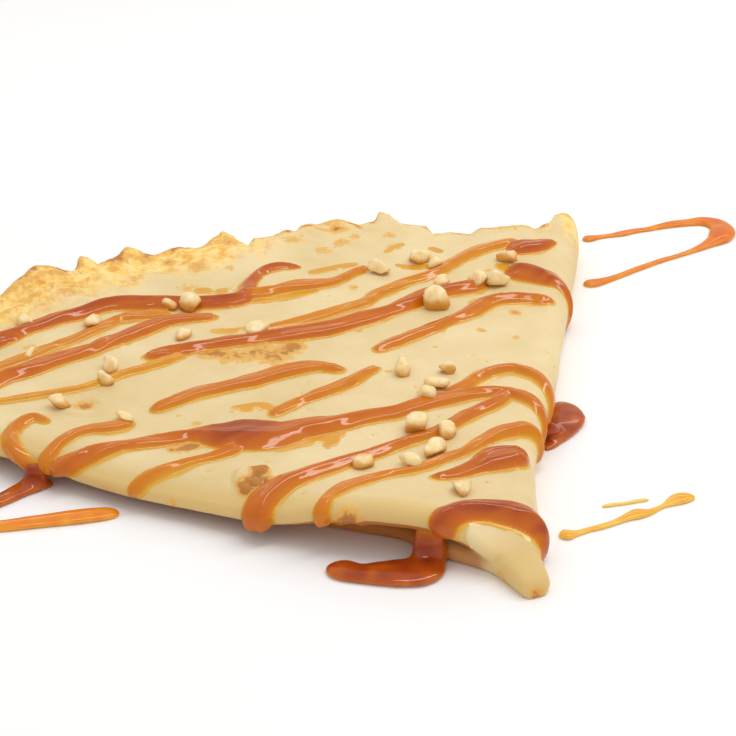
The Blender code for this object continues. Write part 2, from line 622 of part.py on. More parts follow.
def tidy_body(mesh):
    """Cleans the fused mesh and keeps its largest body, which drops scraps and fills sealed hollows."""
    bm = bmesh.new()
    bm.from_mesh(mesh)
    bmesh.ops.triangulate(bm, faces=bm.faces)
    bmesh.ops.remove_doubles(bm, verts=bm.verts, dist=MERGE * MM)
    bmesh.ops.dissolve_degenerate(bm, edges=bm.edges, dist=MERGE * MM)
    bmesh.ops.triangulate(bm, faces=bm.faces)
    drop_flaps(bm)
    scraps = [face for body in connected_bodies(bm)[1:] for face in body]
    bmesh.ops.delete(bm, geom=scraps, context="FACES")
    loose = [vertex for vertex in bm.verts if not vertex.link_faces]
    bmesh.ops.delete(bm, geom=loose, context="VERTS")
    bm.to_mesh(mesh)
    bm.free()


def fuse(base, pieces, collection):
    """Joins the pieces to the base with one Boolean union on their collection."""
    group = bpy.data.collections.new("toppings")
    bpy.context.scene.collection.children.link(group)
    for piece in pieces:
        group.objects.link(piece)
    collection.objects.link(base)
    union = base.modifiers.new("fuse", "BOOLEAN")
    union.operation = "UNION"
    union.operand_type = "COLLECTION"
    union.collection = group
    union.solver = "MANIFOLD"
    fused = evaluated_mesh(base)
    base.modifiers.remove(union)
    base.data = fused
    tidy_body(base.data)
    for piece in pieces:
        bpy.data.objects.remove(piece)
    bpy.data.collections.remove(group)
    return base


def finish_of(name, colour, roughness):
    material = bpy.data.materials.new(name)
    material.use_nodes = True
    shader = material.node_tree.nodes["Principled BSDF"]
    shader.inputs["Base Color"].default_value = (*colour, 1.0)
    shader.inputs["Roughness"].default_value = roughness
    shader.inputs["Metallic"].default_value = 0.0
    return material


def clear_scene():
    for thing in list(bpy.data.objects):
        bpy.data.objects.remove(thing)


def build():
    clear_scene()
    collection = bpy.data.collections.new(PART)
    bpy.context.scene.collection.children.link(collection)
    crepe = fuse(folded_sheet(), toppings(), collection)
    crepe.data.materials.clear()
    crepe.data.materials.append(finish_of("baked_crepe", (0.83, 0.70, 0.45), 0.55))
    honey = finish_of("honey", (0.60, 0.22, 0.05), 0.15)
    for name, points in LOOSE.items():
        bead = table_bead(name, points)
        bead.data.materials.append(honey)
        collection.objects.link(bead)


build()
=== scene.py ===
"""The looks of the honey crepe: baked sheet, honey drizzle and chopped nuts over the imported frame.

Shapes are worked out in millimetres in a plan whose origin is the folded tip, as in the part's
source, and to_frame moves them to the frame's metres. A route over the crepe is given in plan, and
where it leaves the outline it goes on round the fold.
"""
import math

import bmesh
import bpy
import numpy as np
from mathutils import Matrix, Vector
from mathutils.bvhtree import BVHTree

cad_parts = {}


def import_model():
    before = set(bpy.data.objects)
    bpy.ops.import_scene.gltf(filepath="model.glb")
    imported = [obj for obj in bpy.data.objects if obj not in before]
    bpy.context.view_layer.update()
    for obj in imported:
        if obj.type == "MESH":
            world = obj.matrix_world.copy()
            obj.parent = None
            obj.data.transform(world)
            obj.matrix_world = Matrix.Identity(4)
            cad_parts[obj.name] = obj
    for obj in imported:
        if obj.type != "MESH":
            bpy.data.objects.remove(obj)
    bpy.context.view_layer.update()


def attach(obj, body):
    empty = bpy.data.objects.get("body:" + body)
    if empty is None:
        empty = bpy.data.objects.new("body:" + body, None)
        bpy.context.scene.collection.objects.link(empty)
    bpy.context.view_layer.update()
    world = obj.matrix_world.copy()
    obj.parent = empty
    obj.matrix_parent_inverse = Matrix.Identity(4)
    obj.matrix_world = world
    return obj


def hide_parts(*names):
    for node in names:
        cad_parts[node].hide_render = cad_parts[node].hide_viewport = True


MM = 0.001
ORIGIN_X = -36.6
ORIGIN_Y = 80.0
UP = Vector((0.0, 0.0, 1.0))
TINY = 1e-9
NOISE_CELLS = 64

# The crepe's folds, as in the part's source
CREPE_RADIUS = 137.0
SHEET = 1.2
OPENING = math.radians(73.4)
RIGHT_FOLD_LEAN = math.radians(7.1)
TIP_RADIUS = 9.5
TIP_SQUASH = 0.42
SQUASH_LIMITS = (3.0, 21.0)
ROUND_LIMITS = (6.0, 24.0)
RIGHT_BOWS = ((2.8, 38.0, 24.0), (-1.8, 135.0, 28.0))
NEAR_BOWS = ((3.2, 14.0, 11.0), (-1.9, 52.0, 18.0), (-1.5, 77.0, 13.0))
LOWER_GAP = 0.75
LOWER_BULGE = 0.2
BULGE_AT = 0.35
BULGE_REACH = 0.3
MIDDLE_GAP = 0.95
UPPER_GAP = 1.55
MIDDLE_CLOSING = 0.4
UPPER_CLOSING = 0.6
CLOSING_LIMITS = (45.0, 90.0)
CLOSING_SHARES = (0.35, 0.9)
LIFT = 2.5
LIFT_AT = 26.0
LIFT_REACH = 13.0
LIFT_SHARES = (0.45, 1.0)
DROOP = 1.8
DROOP_AT_CORNER = 0.8
DROOP_REACH = 8.0
DROOP_END = 1.5
DROOP_LIMITS = (36.0, 50.0)
MOST_INTO_DROOP = 1.3
CORNER_LIMITS = (82.0, 98.0)
SWELL = 0.25
SWELL_LENGTH = 9.0
SWELL_SLANT = 4.0
SWELL_TURNS = 7.0
SWELL_START = 0.5
SETBACK = 2.2
SETBACK_FURTHER_ON = 5.4
SETBACK_LIMITS = (17.0, 31.0)
INNER_SETBACK = 0.8
RIM_CURL = 2.0
CURL_WIDTH = 13.0
CURL_BEYOND = 4.0
CURL_CHANGE = 0.45
CURL_WAVES = 31.0

# How finely the sheet is divided round its loop and from tip to rim, and its start under the nose
COLUMNS = {"top": 300, "near_upper": 44, "second": 50, "inner": 12, "third": 40, "near_lower": 16,
           "bottom": 36, "outer": 40}
RINGS = 210
START_COLUMNS = {"top": 40, "near_upper": 12, "second": 20, "inner": 6, "third": 16, "near_lower": 8,
                 "bottom": 16, "outer": 12}
START_RINGS = 30
START_RADIUS = 27.0
# The second layer's points gather towards the near fold, by this power
GATHERING = 1.5
# How far ahead along an arc a slope is taken (mm)
AHEAD = 0.5

# The ragged rim by place round the loop, 0 to 8, and its radius there: the top layer, then the rest
TOP_RIM = (
    (0, 144.5), (0.006, 143), (0.012, 133.5), (0.03, 132), (0.055, 131), (0.08, 134), (0.105, 135),
    (0.145, 134), (0.163, 132.5), (0.17, 137), (0.2, 137.5), (0.206, 140), (0.214, 144), (0.227, 143.5),
    (0.235, 138.5), (0.255, 138), (0.28, 141), (0.33, 142.5), (0.365, 141), (0.392, 138.5),
    (0.402, 133.5), (0.41, 140.5), (0.425, 143), (0.445, 140), (0.467, 138), (0.5, 139.5), (0.53, 142),
    (0.542, 147.5), (0.556, 146), (0.57, 143), (0.595, 141.5), (0.607, 148), (0.618, 144), (0.638, 142.5),
    (0.65, 147), (0.672, 146.5), (0.7, 145), (0.75, 144), (0.8, 145), (0.88, 146), (0.94, 140), (1, 137))
LOWER_RIM = (
    (2, 139), (2.5, 137), (3, 134), (4, 134), (5, 137), (6, 138), (7, 137), (7.4, 141), (7.65, 143),
    (7.85, 145), (8, 144.5))
RIM_BASE = 139.5
TOP_LENGTH = 178.0
RIM_OUT = 0.9
RAGGED_SHARE = 0.45
RAGGED_LIFT = 0.27
RAGGED_LIMITS = (-6.0, 8.0)
RAGGED_WIDTH = 7.0
RIM_THINNING = 0.72
THINNED_WIDTH = 9.0
LEAST_INSIDE = 0.15
EDGE_WIDTH = 16.0
TORN = 0.7
TORN_LENGTH = 2.5
TORN_SEED = 19
# The smooth end of the right fold, in places round the loop: above it and below it
ROLL_ABOVE = (0.012, 0.035)
ROLL_BELOW = (7.1, 6.95)
# Where the outer face and its relief end and start again, round the loop
OUTER_BEFORE = 1.6
OUTER_AFTER = 7.1
RELIEF_ENDS = (2.0, 1.9)
RELIEF_STARTS = (7.0, 7.1)

# Layers of noise: how much of each, its size and its seed
RIM_NOISE = ((0.9, 1 / 60, 3), (0.5, 1 / 150, 4))
BAKED_NOISE = ((0.16, 16.0, 11), (0.09, 6.0, 12), (0.03, 2.2, 13))
EDGE_NOISE = ((0.9, 7.0, 16), (0.4, 2.4, 17))
CRAG_NOISE = ((0.9, 1.3, 14),)
LACE_NOISE = ((0.28, 1.4, 15),)
WRINKLE_NOISE = ((0.6, 9.0, 18),)
CRUMB_NOISE = ((1.8, 1.5, 20),)
WARP_X = ((0.35, 6.0, 41), (0.12, 2.2, 42))
WARP_Y = ((0.35, 6.0, 43), (0.12, 2.2, 44))
FILM_EDGE_NOISE = ((0.9, 6.0, 45), (0.4, 2.0, 48))
FILM_NOISE = ((0.35, 3.0, 47),)
PATCH_NOISE = ((0.35, 1.6, 49),)
STREAK_NOISE = ((0.28, 1.1, 50),)
DEPTH_NOISE = ((0.3, 1.8, 51),)

# Waves along the rim's left half, and the right part of the rim that stayed pale
WRINKLE = 0.4
WRINKLE_LENGTH = 4.2
WRINKLED_SHARES = (0.52, 0.66)
WRINKLE_FADE = (18.0, 9.0)
PALE_SHARES = (0.45, 0.33)
PALENESS = 0.65

# How far in from the near fold and from the tip the sheet gets painted shade, a darker warm tone
FOLD_SHADE_WIDTH = 4.5
FOLD_SHADE_TIP = 14.0

# The pressed tip: distance from the tip, width and height
NOSE = ((0.2, 3.4, 2.0), (1.2, 5.2, 3.2), (4.0, 6.4, 4.1), (7.0, 7.6, 4.7), (10.5, 9.8, 5.3),
        (13.5, 11.5, 5.6))
NOSE_LEAN = math.radians(-23.0)
NOSE_SET_IN = 0.8
NOSE_MIDDLE = 0.45
NOSE_SIDES = 24
NOSE_STEP = 0.5
NOSE_BOXINESS = 0.7
NOSE_SPOTS = ((-7.0, 4.3, 1.5, 1.15), (-0.4, 0.3, 1.5, 0.7), (-12.5, 9.2, 1.2, 0.5))
# The nose stands a little out of the sheet and sinks into it further on: distances from the tip
NOSE_OUT = 0.1
NOSE_SINK = 0.55
NOSE_SINKS = (19.0, 26.0)

# Honey
LEAST_HEIGHT = 0.25
HEIGHT_TO_WIDTH = 0.27
MOST_HEIGHT = 1.95
MOST_WRAP = math.radians(125.0)
WRAP_MARGIN = 0.15
# How pieces are melted into one skin: voxel size and smoothing passes
POOL_MELT = (0.38, 24)
LOOSE_MELT = (0.25, 8)
TIP_MELT = (0.35, 14)
BEAD_SIDES = 16
BEAD_FOOT = 0.75
BEAD_MIDDLE = 0.3
BEAD_FULLNESS = 0.8
END_REACH = 1.3
LEAST_END = 0.2
FIELD_STEP = 0.32
FIELD_SIDES = ((-114.0, 22.0), (5.0, 132.0))
FIELD_MARGIN = 4.0
ROUTE_STEP = 0.4
FALL_STEP = 0.8
FALL_HEIGHT = 0.8
FALL_DEPTH = 0.5
WOBBLE = 0.13
WOBBLE_LENGTH = 7.0
RIDGES = 1.7
RIDGE_HEIGHT = 0.13
RIDGE_DRIFT = 1.5
RIDGE_DRIFT_LENGTH = 15.0
STREAK_LEAN = math.radians(25.0)
STREAK_STRETCH = 0.2
FILM = 0.10
FILM_REACH = 0.75
FILM_EVENNESS = 0.8
LEAST_REACH = 0.1
FILM_FALL = 1
PATCH_COVER = 0.3
SPREAD_HEIGHT = 0.14
LEAST_WET = 0.01
SUNK = 0.04
LOWEST_HONEY = 0.05
STRAND_SEED = 20
LOOSE_SEED = 70
POOL_SEED = 90
FILM_SEED = 120
# How far over the sheet the search for it starts
PROBE = 2.0
# Beyond these distances from the tip, thick honey no longer follows the sheet's small relief
LEVEL_LIMITS = (20.0, 27.0)
LEVEL_THICKNESS = 0.4
# The dark pool in the main strand: place, reach and how much more colour it has
DARK_POOL = (-50.0, 42.0, 6.5, 0.65)

# Honey on the crepe: each strand's colour for its thickness, and its points in plan with widths (mm)
STRANDS = {
    "far_left": (0.9, ((-111, 63, 3), (-106, 73, 4), (-99.2, 80.6, 4.4), (-92.5, 87.2, 4.4),
        (-85.7, 92.3, 4.6), (-80, 96, 5), (-73, 97.2, 5), (-65, 97.2, 4.8), (-58, 97.2, 5),
        (-54.2, 98, 5.2), (-52.6, 101.5, 4.4), (-52.3, 106, 3.2), (-50.1, 111.3, 2.8),
        (-46.1, 114.2, 2.6), (-41.6, 114.2, 1.6))),
    "far_left_branch": (0.27, ((-53.5, 99.5, 4), (-48.4, 101.8, 4.4), (-42.5, 104, 4.2),
        (-37.8, 104.8, 3.8), (-34.7, 106.3, 3.4), (-30, 111, 3.2), (-27.8, 113.6, 2.4))),
    "left_wide": (0.55, ((-108, 53, 3), (-102, 58.5, 4), (-96.5, 64.1, 4.4), (-92.7, 67.4, 4.6),
        (-88, 71.3, 4.6), (-84, 74, 4.4), (-80.2, 77.4, 4.4), (-75.4, 82.1, 4.2), (-71.3, 86, 4.2),
        (-66, 89.5, 4), (-58, 91, 2.4))),
    "left_thin": (0.2, ((-104, 63, 2.2), (-97.4, 69.8, 2.6), (-92.2, 74.3, 2.8), (-88.3, 78, 2.8),
        (-84.3, 81.3, 2.8), (-79.3, 87, 3), (-75, 91, 3), (-68, 92.3, 2.6))),
    "left_yellow": (0.09, ((-103.5, 51.5, 1.8), (-98, 54.8, 2), (-92, 57, 2), (-87.1, 58.4, 2),
        (-82.2, 60.3, 2), (-78.5, 62.8, 2.2), (-73.8, 66.6, 2.4), (-70.2, 69.1, 2.4), (-66.5, 71.5, 2.6),
        (-63, 74, 2.4))),
    "middle_long": (0.62, ((-70, 74, 4), (-60, 77.3, 4.5), (-48, 80.2, 4.5), (-36, 83.7, 4.8),
        (-25, 91, 4.8), (-20.5, 95.5, 4.5), (-16, 99.8, 4.5), (-11.5, 102.4, 5), (-7.5, 104, 5),
        (-4, 105.3, 3.4))),
    "middle_thin": (0.18, ((-50, 84, 2.2), (-46.4, 85.2, 2.6), (-40.5, 88, 2.8), (-34.5, 92, 3),
        (-28.4, 96.8, 3), (-25.3, 101.2, 3), (-20, 105.8, 3), (-14, 110.6, 3.2), (-10.9, 114.9, 3.4),
        (-7.1, 119.4, 3.8), (-2, 124.2, 4.2), (2.5, 126.2, 4), (5, 126.4, 2.4))),
    "far_dark": (0.9, ((2.4, 122.8, 3), (5.3, 124, 5.4), (8, 124.7, 5.4), (10.5, 125.9, 4),
        (12.5, 127, 2))),
    "right_far": (0.4, ((-26, 74.5, 3.2), (-22.5, 77.5, 3.5), (-18, 82, 3.5), (-12.5, 87.3, 3.5),
        (-8, 91.7, 3.8), (-3.7, 96.6, 3.8), (-0.5, 98.5, 3.8), (3.8, 98.9, 4), (9.3, 97.8, 3.8))),
    "right_side": (0.8, ((1.5, 110.5, 4), (4.2, 111.6, 6.5), (8, 109.6, 5.5), (12, 106, 3.4),
        (14.9, 102.8, 2.6), (17, 99.4, 2.6), (17.8, 96.4, 2.2), (17.6, 94.2, 1.6))),
    "centre_left": (0.36, ((-67, 52.2, 3), (-60, 57.2, 3.5), (-50, 61.7, 4), (-42, 66.2, 4),
        (-37, 67.2, 4), (-32.5, 66.2, 3))),
    "centre_right": (0.3, ((-45, 48.8, 3), (-40, 53.7, 3), (-34, 58.7, 3.5), (-26, 67.2, 2))),
    "main": (0.47, ((-83.8, 34.6, 2.6), (-81.1, 35.1, 3.4), (-78.7, 35.6, 4), (-74.7, 37, 3.8),
        (-70, 38.6, 3.4), (-65.3, 39.8, 3.6), (-60.8, 41, 4), (-56.8, 41.8, 4.6), (-53.2, 41.3, 8.2),
        (-49.5, 41.4, 11.2), (-46, 41, 10.8), (-43, 41.2, 8.6), (-40, 42.8, 6.4), (-36, 44, 5.6),
        (-32, 45.6, 4.8), (-27.5, 47.5, 4.2), (-22, 49.2, 4.4), (-16, 52.6, 4.2), (-11.5, 55, 4.2),
        (-7.2, 56.6, 3.6), (-2.7, 57, 3.2), (0.8, 55.4, 3), (3.6, 52.6, 2.6), (6.2, 49.9, 2.4),
        (8, 47, 2.2), (8.6, 44.2, 1.6))),
    "main_loop": (0.33, ((-13, 56.5, 3.4), (-11.4, 58, 3.4), (-8.1, 62.1, 3.4), (-4.7, 65.2, 3.4),
        (-0.4, 66.8, 3.4), (3.2, 64.8, 3), (5.6, 61.5, 2.8), (7.4, 58.8, 2.4), (8.6, 56, 2),
        (9.2, 53.5, 1.6))),
    "near_left_hook": (0.28, ((-85, 47.6, 1.8), (-87.9, 49, 2.6), (-90.4, 46.9, 3), (-91.4, 43.2, 3),
        (-90.6, 40, 3.2), (-88.8, 37.2, 3.6), (-87.3, 34.8, 4), (-86.2, 32.6, 3.5))),
    "near_left_loop": (0.33, ((-86.4, 32.6, 3.2), (-84.6, 35.5, 3.4), (-83.2, 38, 3.2), (-81.5, 40.8, 3),
        (-77.9, 43.8, 3.2), (-74.2, 45.4, 3.6), (-70.3, 47, 3.2))),
    "near_left_thin": (0.22, ((-68.5, 27.1, 2.2), (-66.8, 28.5, 3), (-65.2, 29.6, 3), (-62.8, 30.8, 2.8),
        (-60.1, 31.9, 2.6), (-55.9, 33.2, 2.8), (-52.8, 35, 3), (-50.2, 37.4, 3.4))),
    "near_wide": (0.45, ((-47.3, 14.2, 5), (-46.8, 17, 6.6), (-45.6, 19.8, 6), (-43.2, 22, 5),
        (-40.6, 24.2, 4.6), (-37.4, 26.6, 4.4), (-32.6, 30.2, 4), (-27, 34, 3.6), (-21.7, 37.8, 3.4),
        (-17.6, 40.4, 3.4), (-12.5, 44.6, 3), (-8.8, 49, 3), (-4.5, 53.4, 3), (-2, 55.8, 3))),
    "near_thin": (0.27, ((-36.2, 10.8, 2.4), (-35.9, 12.4, 3), (-35.3, 15, 3), (-34.4, 17.6, 3),
        (-32, 20.6, 3), (-29, 22.8, 2.8), (-25.7, 25, 2.6), (-21.9, 27, 2.5), (-18.1, 29.2, 2.5),
        (-13, 33.2, 2.8), (-8.9, 37.4, 3), (-5.2, 40.8, 3.6), (-1.9, 42.6, 4), (1.2, 43.7, 3.6),
        (3.8, 43.4, 3), (5.8, 42.2, 2.4), (7.2, 41, 2))),
    "near_drop": (0.7, ((-16.9, 25.2, 1.8), (-13.2, 26.6, 3), (-9.3, 29.3, 4.6), (-5.6, 32, 7),
        (-2.7, 32.9, 7.4), (-0.9, 33, 5))),
    "tip": (1.0, ((-17.6, 8, 2.6), (-15.8, 9.8, 4), (-14.2, 11.6, 4.6), (-12.3, 13.5, 4.8), (-9, 15, 5),
        (-5.2, 15.3, 5.2), (-2, 14.3, 5.4), (0.6, 12.7, 5), (2.6, 10.8, 4), (3.6, 9.4, 2.6))),
}

# Falls of honey from an edge to the table: points in space, each with its width
FALLS = {
    "near_fall": ((-17.6, 13, 7, 4.5), (-17.5, 12.3, 4.5, 5.4), (-17.5, 12, 2.5, 6), (-17.5, 11, 1, 6.5)),
    "left_fall": ((-86, 36.8, 4.6, 4), (-86, 36.6, 3, 4.4), (-86.3, 36.6, 1.2, 4.8)),
    "right_fall": ((5, 51.5, 4, 3), (6.2, 52.5, 2.8, 3), (7, 54.5, 1.7, 3)),
}

# Honey on the table that flows from the crepe, and its colour for its thickness
POOL_COLOUR = 1.05
POOLS = {
    "near_pool": ((-17.4, 13, 5.6), (-17.8, 9.5, 7), (-19.5, 7.8, 8.4), (-22.5, 7.4, 8),
        (-25.8, 7.2, 6.2), (-29, 7.3, 5), (-32, 8.4, 5.8), (-34.8, 9.6, 5.4)),
    "right_pool": ((4.6, 49.5, 2.2), (6.4, 53.2, 4), (8.4, 57.5, 6), (9.6, 61.6, 7.2), (9, 65.6, 5.6),
        (7.4, 68, 3.6)),
    "left_pool": ((-83, 37.2, 3.4), (-85.8, 36.9, 4.8), (-88.4, 34.9, 4.4), (-91.4, 31.6, 3.8),
        (-95.5, 28.8, 3.6), (-101, 27.6, 3.4), (-107, 27.8, 3.2)),
}

# The loose strands beside the crepe, each with its colour for its thickness
LOOSE = {
    "honey_strand_left": (0.66, ((-70.4, 27.2, 3), (-72.5, 26.8, 3.8), (-80.3, 25, 4), (-85.3, 23.8, 4),
        (-90.4, 22.6, 3.8), (-98, 21.6, 3.6), (-104, 21.3, 3.4), (-111, 22.1, 3))),
    "honey_strand_right": (0.27, ((4.5, 19.4, 3), (5.6, 19.8, 3.4), (7.5, 20.5, 1.7), (9.8, 21.7, 1.4),
        (12, 22.7, 1.5), (14.3, 24, 1.5), (16.6, 25.6, 2), (18.7, 26.8, 2.9), (20.7, 27.5, 1.9),
        (22.4, 28.8, 1.4), (23.8, 29.9, 1.5), (26, 31.6, 3.3), (27.8, 32.4, 3.2), (29.6, 32.8, 2))),
    "honey_strand_thin": (0.13, ((12.7, 29.5, 0.9), (15, 30.2, 1), (17.2, 30.7, 0.9), (19.4, 31.5, 1),
        (21.4, 32, 0.9))),
    "honey_loop_far": (0.95, ((18.5, 123.3, 3.4), (21.2, 124.1, 2.8), (24.6, 126.3, 2),
        (27.5, 128.6, 1.8), (30.6, 131.3, 1.8), (33.6, 133.7, 1.8), (36.6, 136.1, 1.8),
        (39.7, 138.2, 1.8), (42.7, 140.3, 1.9), (45.9, 142.8, 2.2), (48.9, 145.6, 3.2), (51.6, 148.6, 5),
        (53, 152.6, 6.2), (52.4, 156.4, 5.6), (49.5, 158.5, 4.2), (46.2, 158, 3.2), (42.2, 157, 3),
        (39.1, 155.7, 2.4), (36.1, 154.2, 1.9), (33.1, 153.2, 2), (30.1, 151.6, 2.4), (27.1, 150.5, 2),
        (24.2, 149.5, 2.2), (21.7, 148.3, 3.4), (20.7, 147.8, 2.8))),
}

# Thin see-through honey that spread from the strands: each film's width and its places in plan
FILMS = (
    (2.5, ((-63, 104.1), (-58.2, 103.3), (-53.6, 104.7), (-52.2, 107.6))),
    (3, ((-53.2, 97.8), (-48.6, 98.7), (-43.9, 99.6), (-37.8, 102.7))),
    (2.5, ((-39.9, 111.4), (-34.8, 113.6), (-30, 115.9))),
    (2.5, ((-58.5, 85.4), (-55.5, 84.5), (-51.6, 85.2))),
    (2, ((-24.2, 121.9), (-22.1, 124.8), (-19.6, 126.2))),
    (2, ((-14.8, 124.1), (-12.1, 121.8))),
    (2.5, ((-22.5, 114.6), (-19.2, 113.8), (-15.4, 114.2), (-10.8, 116.1))),
    (2, ((-6.9, 97.4), (-3.3, 100.2), (-0.5, 102.9))),
    (3, ((-0.6, 116.5), (1.6, 113.7), (3.2, 115.2))),
    (4, ((-82.7, 83), (-79.1, 87.7), (-74.9, 91.1), (-70.4, 92.5))),
    (3.2, ((-53, 51), (-50.3, 51.8), (-46.7, 51.6), (-44.2, 50.5))),
    (3, ((-35, 42.5), (-33.3, 42.5), (-34.9, 36.9))),
    (3, ((-43.9, 36.2), (-40, 38.2), (-35, 40.5))))

# Chopped nuts: plan positions and half sizes
NUTS = (
    (-95, 87.5, 1.85), (-92.5, 74.5, 1.5), (-82, 88, 2), (-67.5, 95.5, 1.8), (-63.5, 95.5, 2.4),
    (-64, 82.5, 1.8), (-76.5, 69, 1.9), (-77, 63.5, 1.8), (-84, 53.5, 1.9), (-71.5, 48, 1.7),
    (-49, 82, 2.2), (-25.5, 111, 2.2), (-17.5, 117, 2.5), (-13.5, 114.5, 1.7), (-14, 96, 2.6),
    (-12.5, 105, 1.9), (-5.5, 106, 2.2), (-1, 106, 2.3), (1.5, 117.5, 2.1), (-21, 65.5, 2.2),
    (-12.5, 65, 1.7), (-15, 59, 2), (-17.5, 54, 1.9), (-19.5, 42.5, 2.4), (-13.5, 41, 2.1),
    (-16, 34, 2.2), (-28.5, 29, 2.1), (-20.5, 29.5, 1.8), (-12, 20, 2.2))
NUT_SEED = 5
NUT_TOP = 12.9
NUT_CUTS = 7
CUT_DEPTHS = (0.55, 0.95)
NUT_SHARPNESS = 90.0
LEAST_FACING = 0.01
NUT_REACH = 1.25
NUT_ROUGHNESS = 0.012
NUT_SCALE = 1.22
NUT_STRETCH = (1.25, 0.95, 0.85)
NUT_SEAT = 0.42
# How far up or down each piece's darker lower side of honey stain and painted shade may shift
MOST_STAIN_AND_SHADE_SHIFT = 0.35

# Browned spots and patches on the top: plan position, reach and strength
BROWN_SPOTS = (
    (-79.4, 54, 2.2, 1.1), (-61.7, 50, 0.8, 0.6), (-58.4, 46.8, 1, 0.9), (-48.1, 23.8, 1.8, 1),
    (-47.1, 25.2, 1.6, 1.2), (-45.8, 27.5, 1.6, 1.2), (-46.5, 28.8, 1.5, 1), (-44.7, 23.9, 1.5, 0.9),
    (-46.3, 22.7, 1.4, 0.8), (-31.4, 11.7, 2.2, 1.5), (-57.8, 38.6, 1.9, 1.1), (-59.7, 37.3, 1.5, 1),
    (-62, 36.8, 1.3, 0.8), (-61.1, 24.6, 1, 0.8), (-21.3, 8.3, 1.2, 1), (-54.5, 38.5, 1.3, 0.8),
    (-42.5, 40.6, 1.6, 0.9), (-34.7, 39.8, 1.3, 0.9), (-30.6, 103.8, 1.3, 0.8), (-29.5, 83.5, 0.9, 0.9),
    (-55.2, 70.4, 0.7, 0.6), (1.6, 92.9, 1.3, 1.1), (-5.6, 83.9, 1.1, 1), (1, 80.5, 1, 0.7),
    (-14.8, 76.4, 0.8, 0.6), (-23.9, 66, 1.1, 0.6), (0.9, 97, 1.1, 0.9), (-2.8, 95.2, 1.1, 0.9),
    (-13, 83.4, 0.9, 0.7), (-2.7, 113, 1, 0.8), (-66.9, 22.5, 1.2, 0.8), (-13.6, 25.6, 1.5, 0.5),
    (-93, 77.9, 1.6, 0.8))
LACE = (
    (-59.6, 75.6, 2.8, 0.9), (-56.5, 74.4, 2.8, 0.9), (-52.1, 72.7, 3.2, 0.9), (-48, 75.5, 3.2, 0.95),
    (-45.3, 70.9, 3, 0.95), (-42.6, 75.1, 2.8, 0.95), (-41.4, 77.3, 2, 0.9), (-64.6, 104.6, 2.6, 0.7),
    (-90, 100, 4, 0.35), (-95, 97, 3, 0.3), (-75.8, 108.9, 3, 0.6), (-74.5, 118, 1.6, 1),
    (-69.3, 116.8, 1.8, 0.9), (-63.2, 113.9, 2.4, 0.9), (-56.5, 113.7, 1.8, 0.6),
    (-37.1, 123.3, 2.4, 0.8), (-33.3, 126.9, 2, 0.9), (-30.3, 129.7, 1.4, 1), (-34.2, 133.5, 2.4, 0.9),
    (-23, 129.7, 1.8, 0.8), (-22.2, 124.6, 2.4, 0.7), (-80.5, 117, 2, 1.1), (-89.5, 111, 1.8, 1),
    (-97, 104, 3, 0.35), (-57.5, 125, 2.4, 0.9), (-96.2, 72.9, 3, 0.35), (-44, 129, 2.4, 0.7),
    (-100, 92, 3, 0.35))
# Small holes, the ring and dent that each has, as below, and its brown: reach and strength
SMALL_HOLES = (
    (-45.1, 31.9), (-55.2, 29.4), (-38.6, 50.7), (-38.8, 61.6), (-39.8, 57.2), (-74.2, 79.6),
    (-35.6, 99.9), (6.4, 74.7), (-7.7, 72.2), (-5.2, 69.9), (7.9, 71.4), (-19, 59.2), (-15.1, 47.5),
    (-26.8, 41.2), (-38.3, 20.3), (-7.6, 24.2))
HOLE = (1.0, 1.3, 0.5, 0.12, 0.7, 0.15)
HOLE_SPOT = (0.6, 0.6)
# Blisters: place, flatness along Y, the ring's radius, width and rise, and the dent's reach and depth
BLISTERS = ((-79.4, 54.0, 1.1, 3.6, 0.9, 0.45, 1.6, 0.25), (-31.5, 11.7, 1.0, 1.9, 0.7, 0.35, 1.0, 0.0))
# The raised crag near the near fold: place, narrowness along X, and its ring's radius, width and rise
CRAG = (-46.6, 26.2, 0.8, 2.2, 1.3, 0.8)

# Browning beside the rim: strengths, and the distances from the rim between which each fades
RIM_BROWN = 0.42
RIM_BROWN_WIDTH = (1.8, 0.0)
RIM_TOAST = 0.16
RIM_TOAST_WIDTH = (9.0, 1.0)
WRINKLE_BROWN = 0.25
CRUMB_BROWN = 0.8
CRUMBS_ABOVE = 0.6
CRUMB_WIDTH = (5.0, 1.0)
LACE_BROWN = 0.8
THIN_WIDTH = (22.0, 0.0)

# Honey's colour by depth, as shares of the depth below: on the crepe and on the white surface
DEEP = ((0.0, (0.77, 0.56, 0.20)), (0.04, (0.76, 0.45, 0.075)), (0.09, (0.71, 0.34, 0.02)),
        (0.18, (0.65, 0.22, 0.006)), (0.32, (0.59, 0.155, 0.005)), (0.5, (0.51, 0.11, 0.005)),
        (0.72, (0.40, 0.065, 0.006)), (1.0, (0.28, 0.035, 0.005)))
BRIGHT = ((0.0, (0.94, 0.80, 0.36)), (0.06, (0.90, 0.62, 0.13)), (0.16, (0.86, 0.42, 0.035)),
          (0.34, (0.80, 0.27, 0.015)), (0.6, (0.74, 0.18, 0.01)), (1.0, (0.55, 0.09, 0.006)))
HONEY_DEPTH = 2.1
# A strand's colour goes by the square root of its thickness times this (mm), so its sides look deep too
DARK_THICKNESS = 1.2

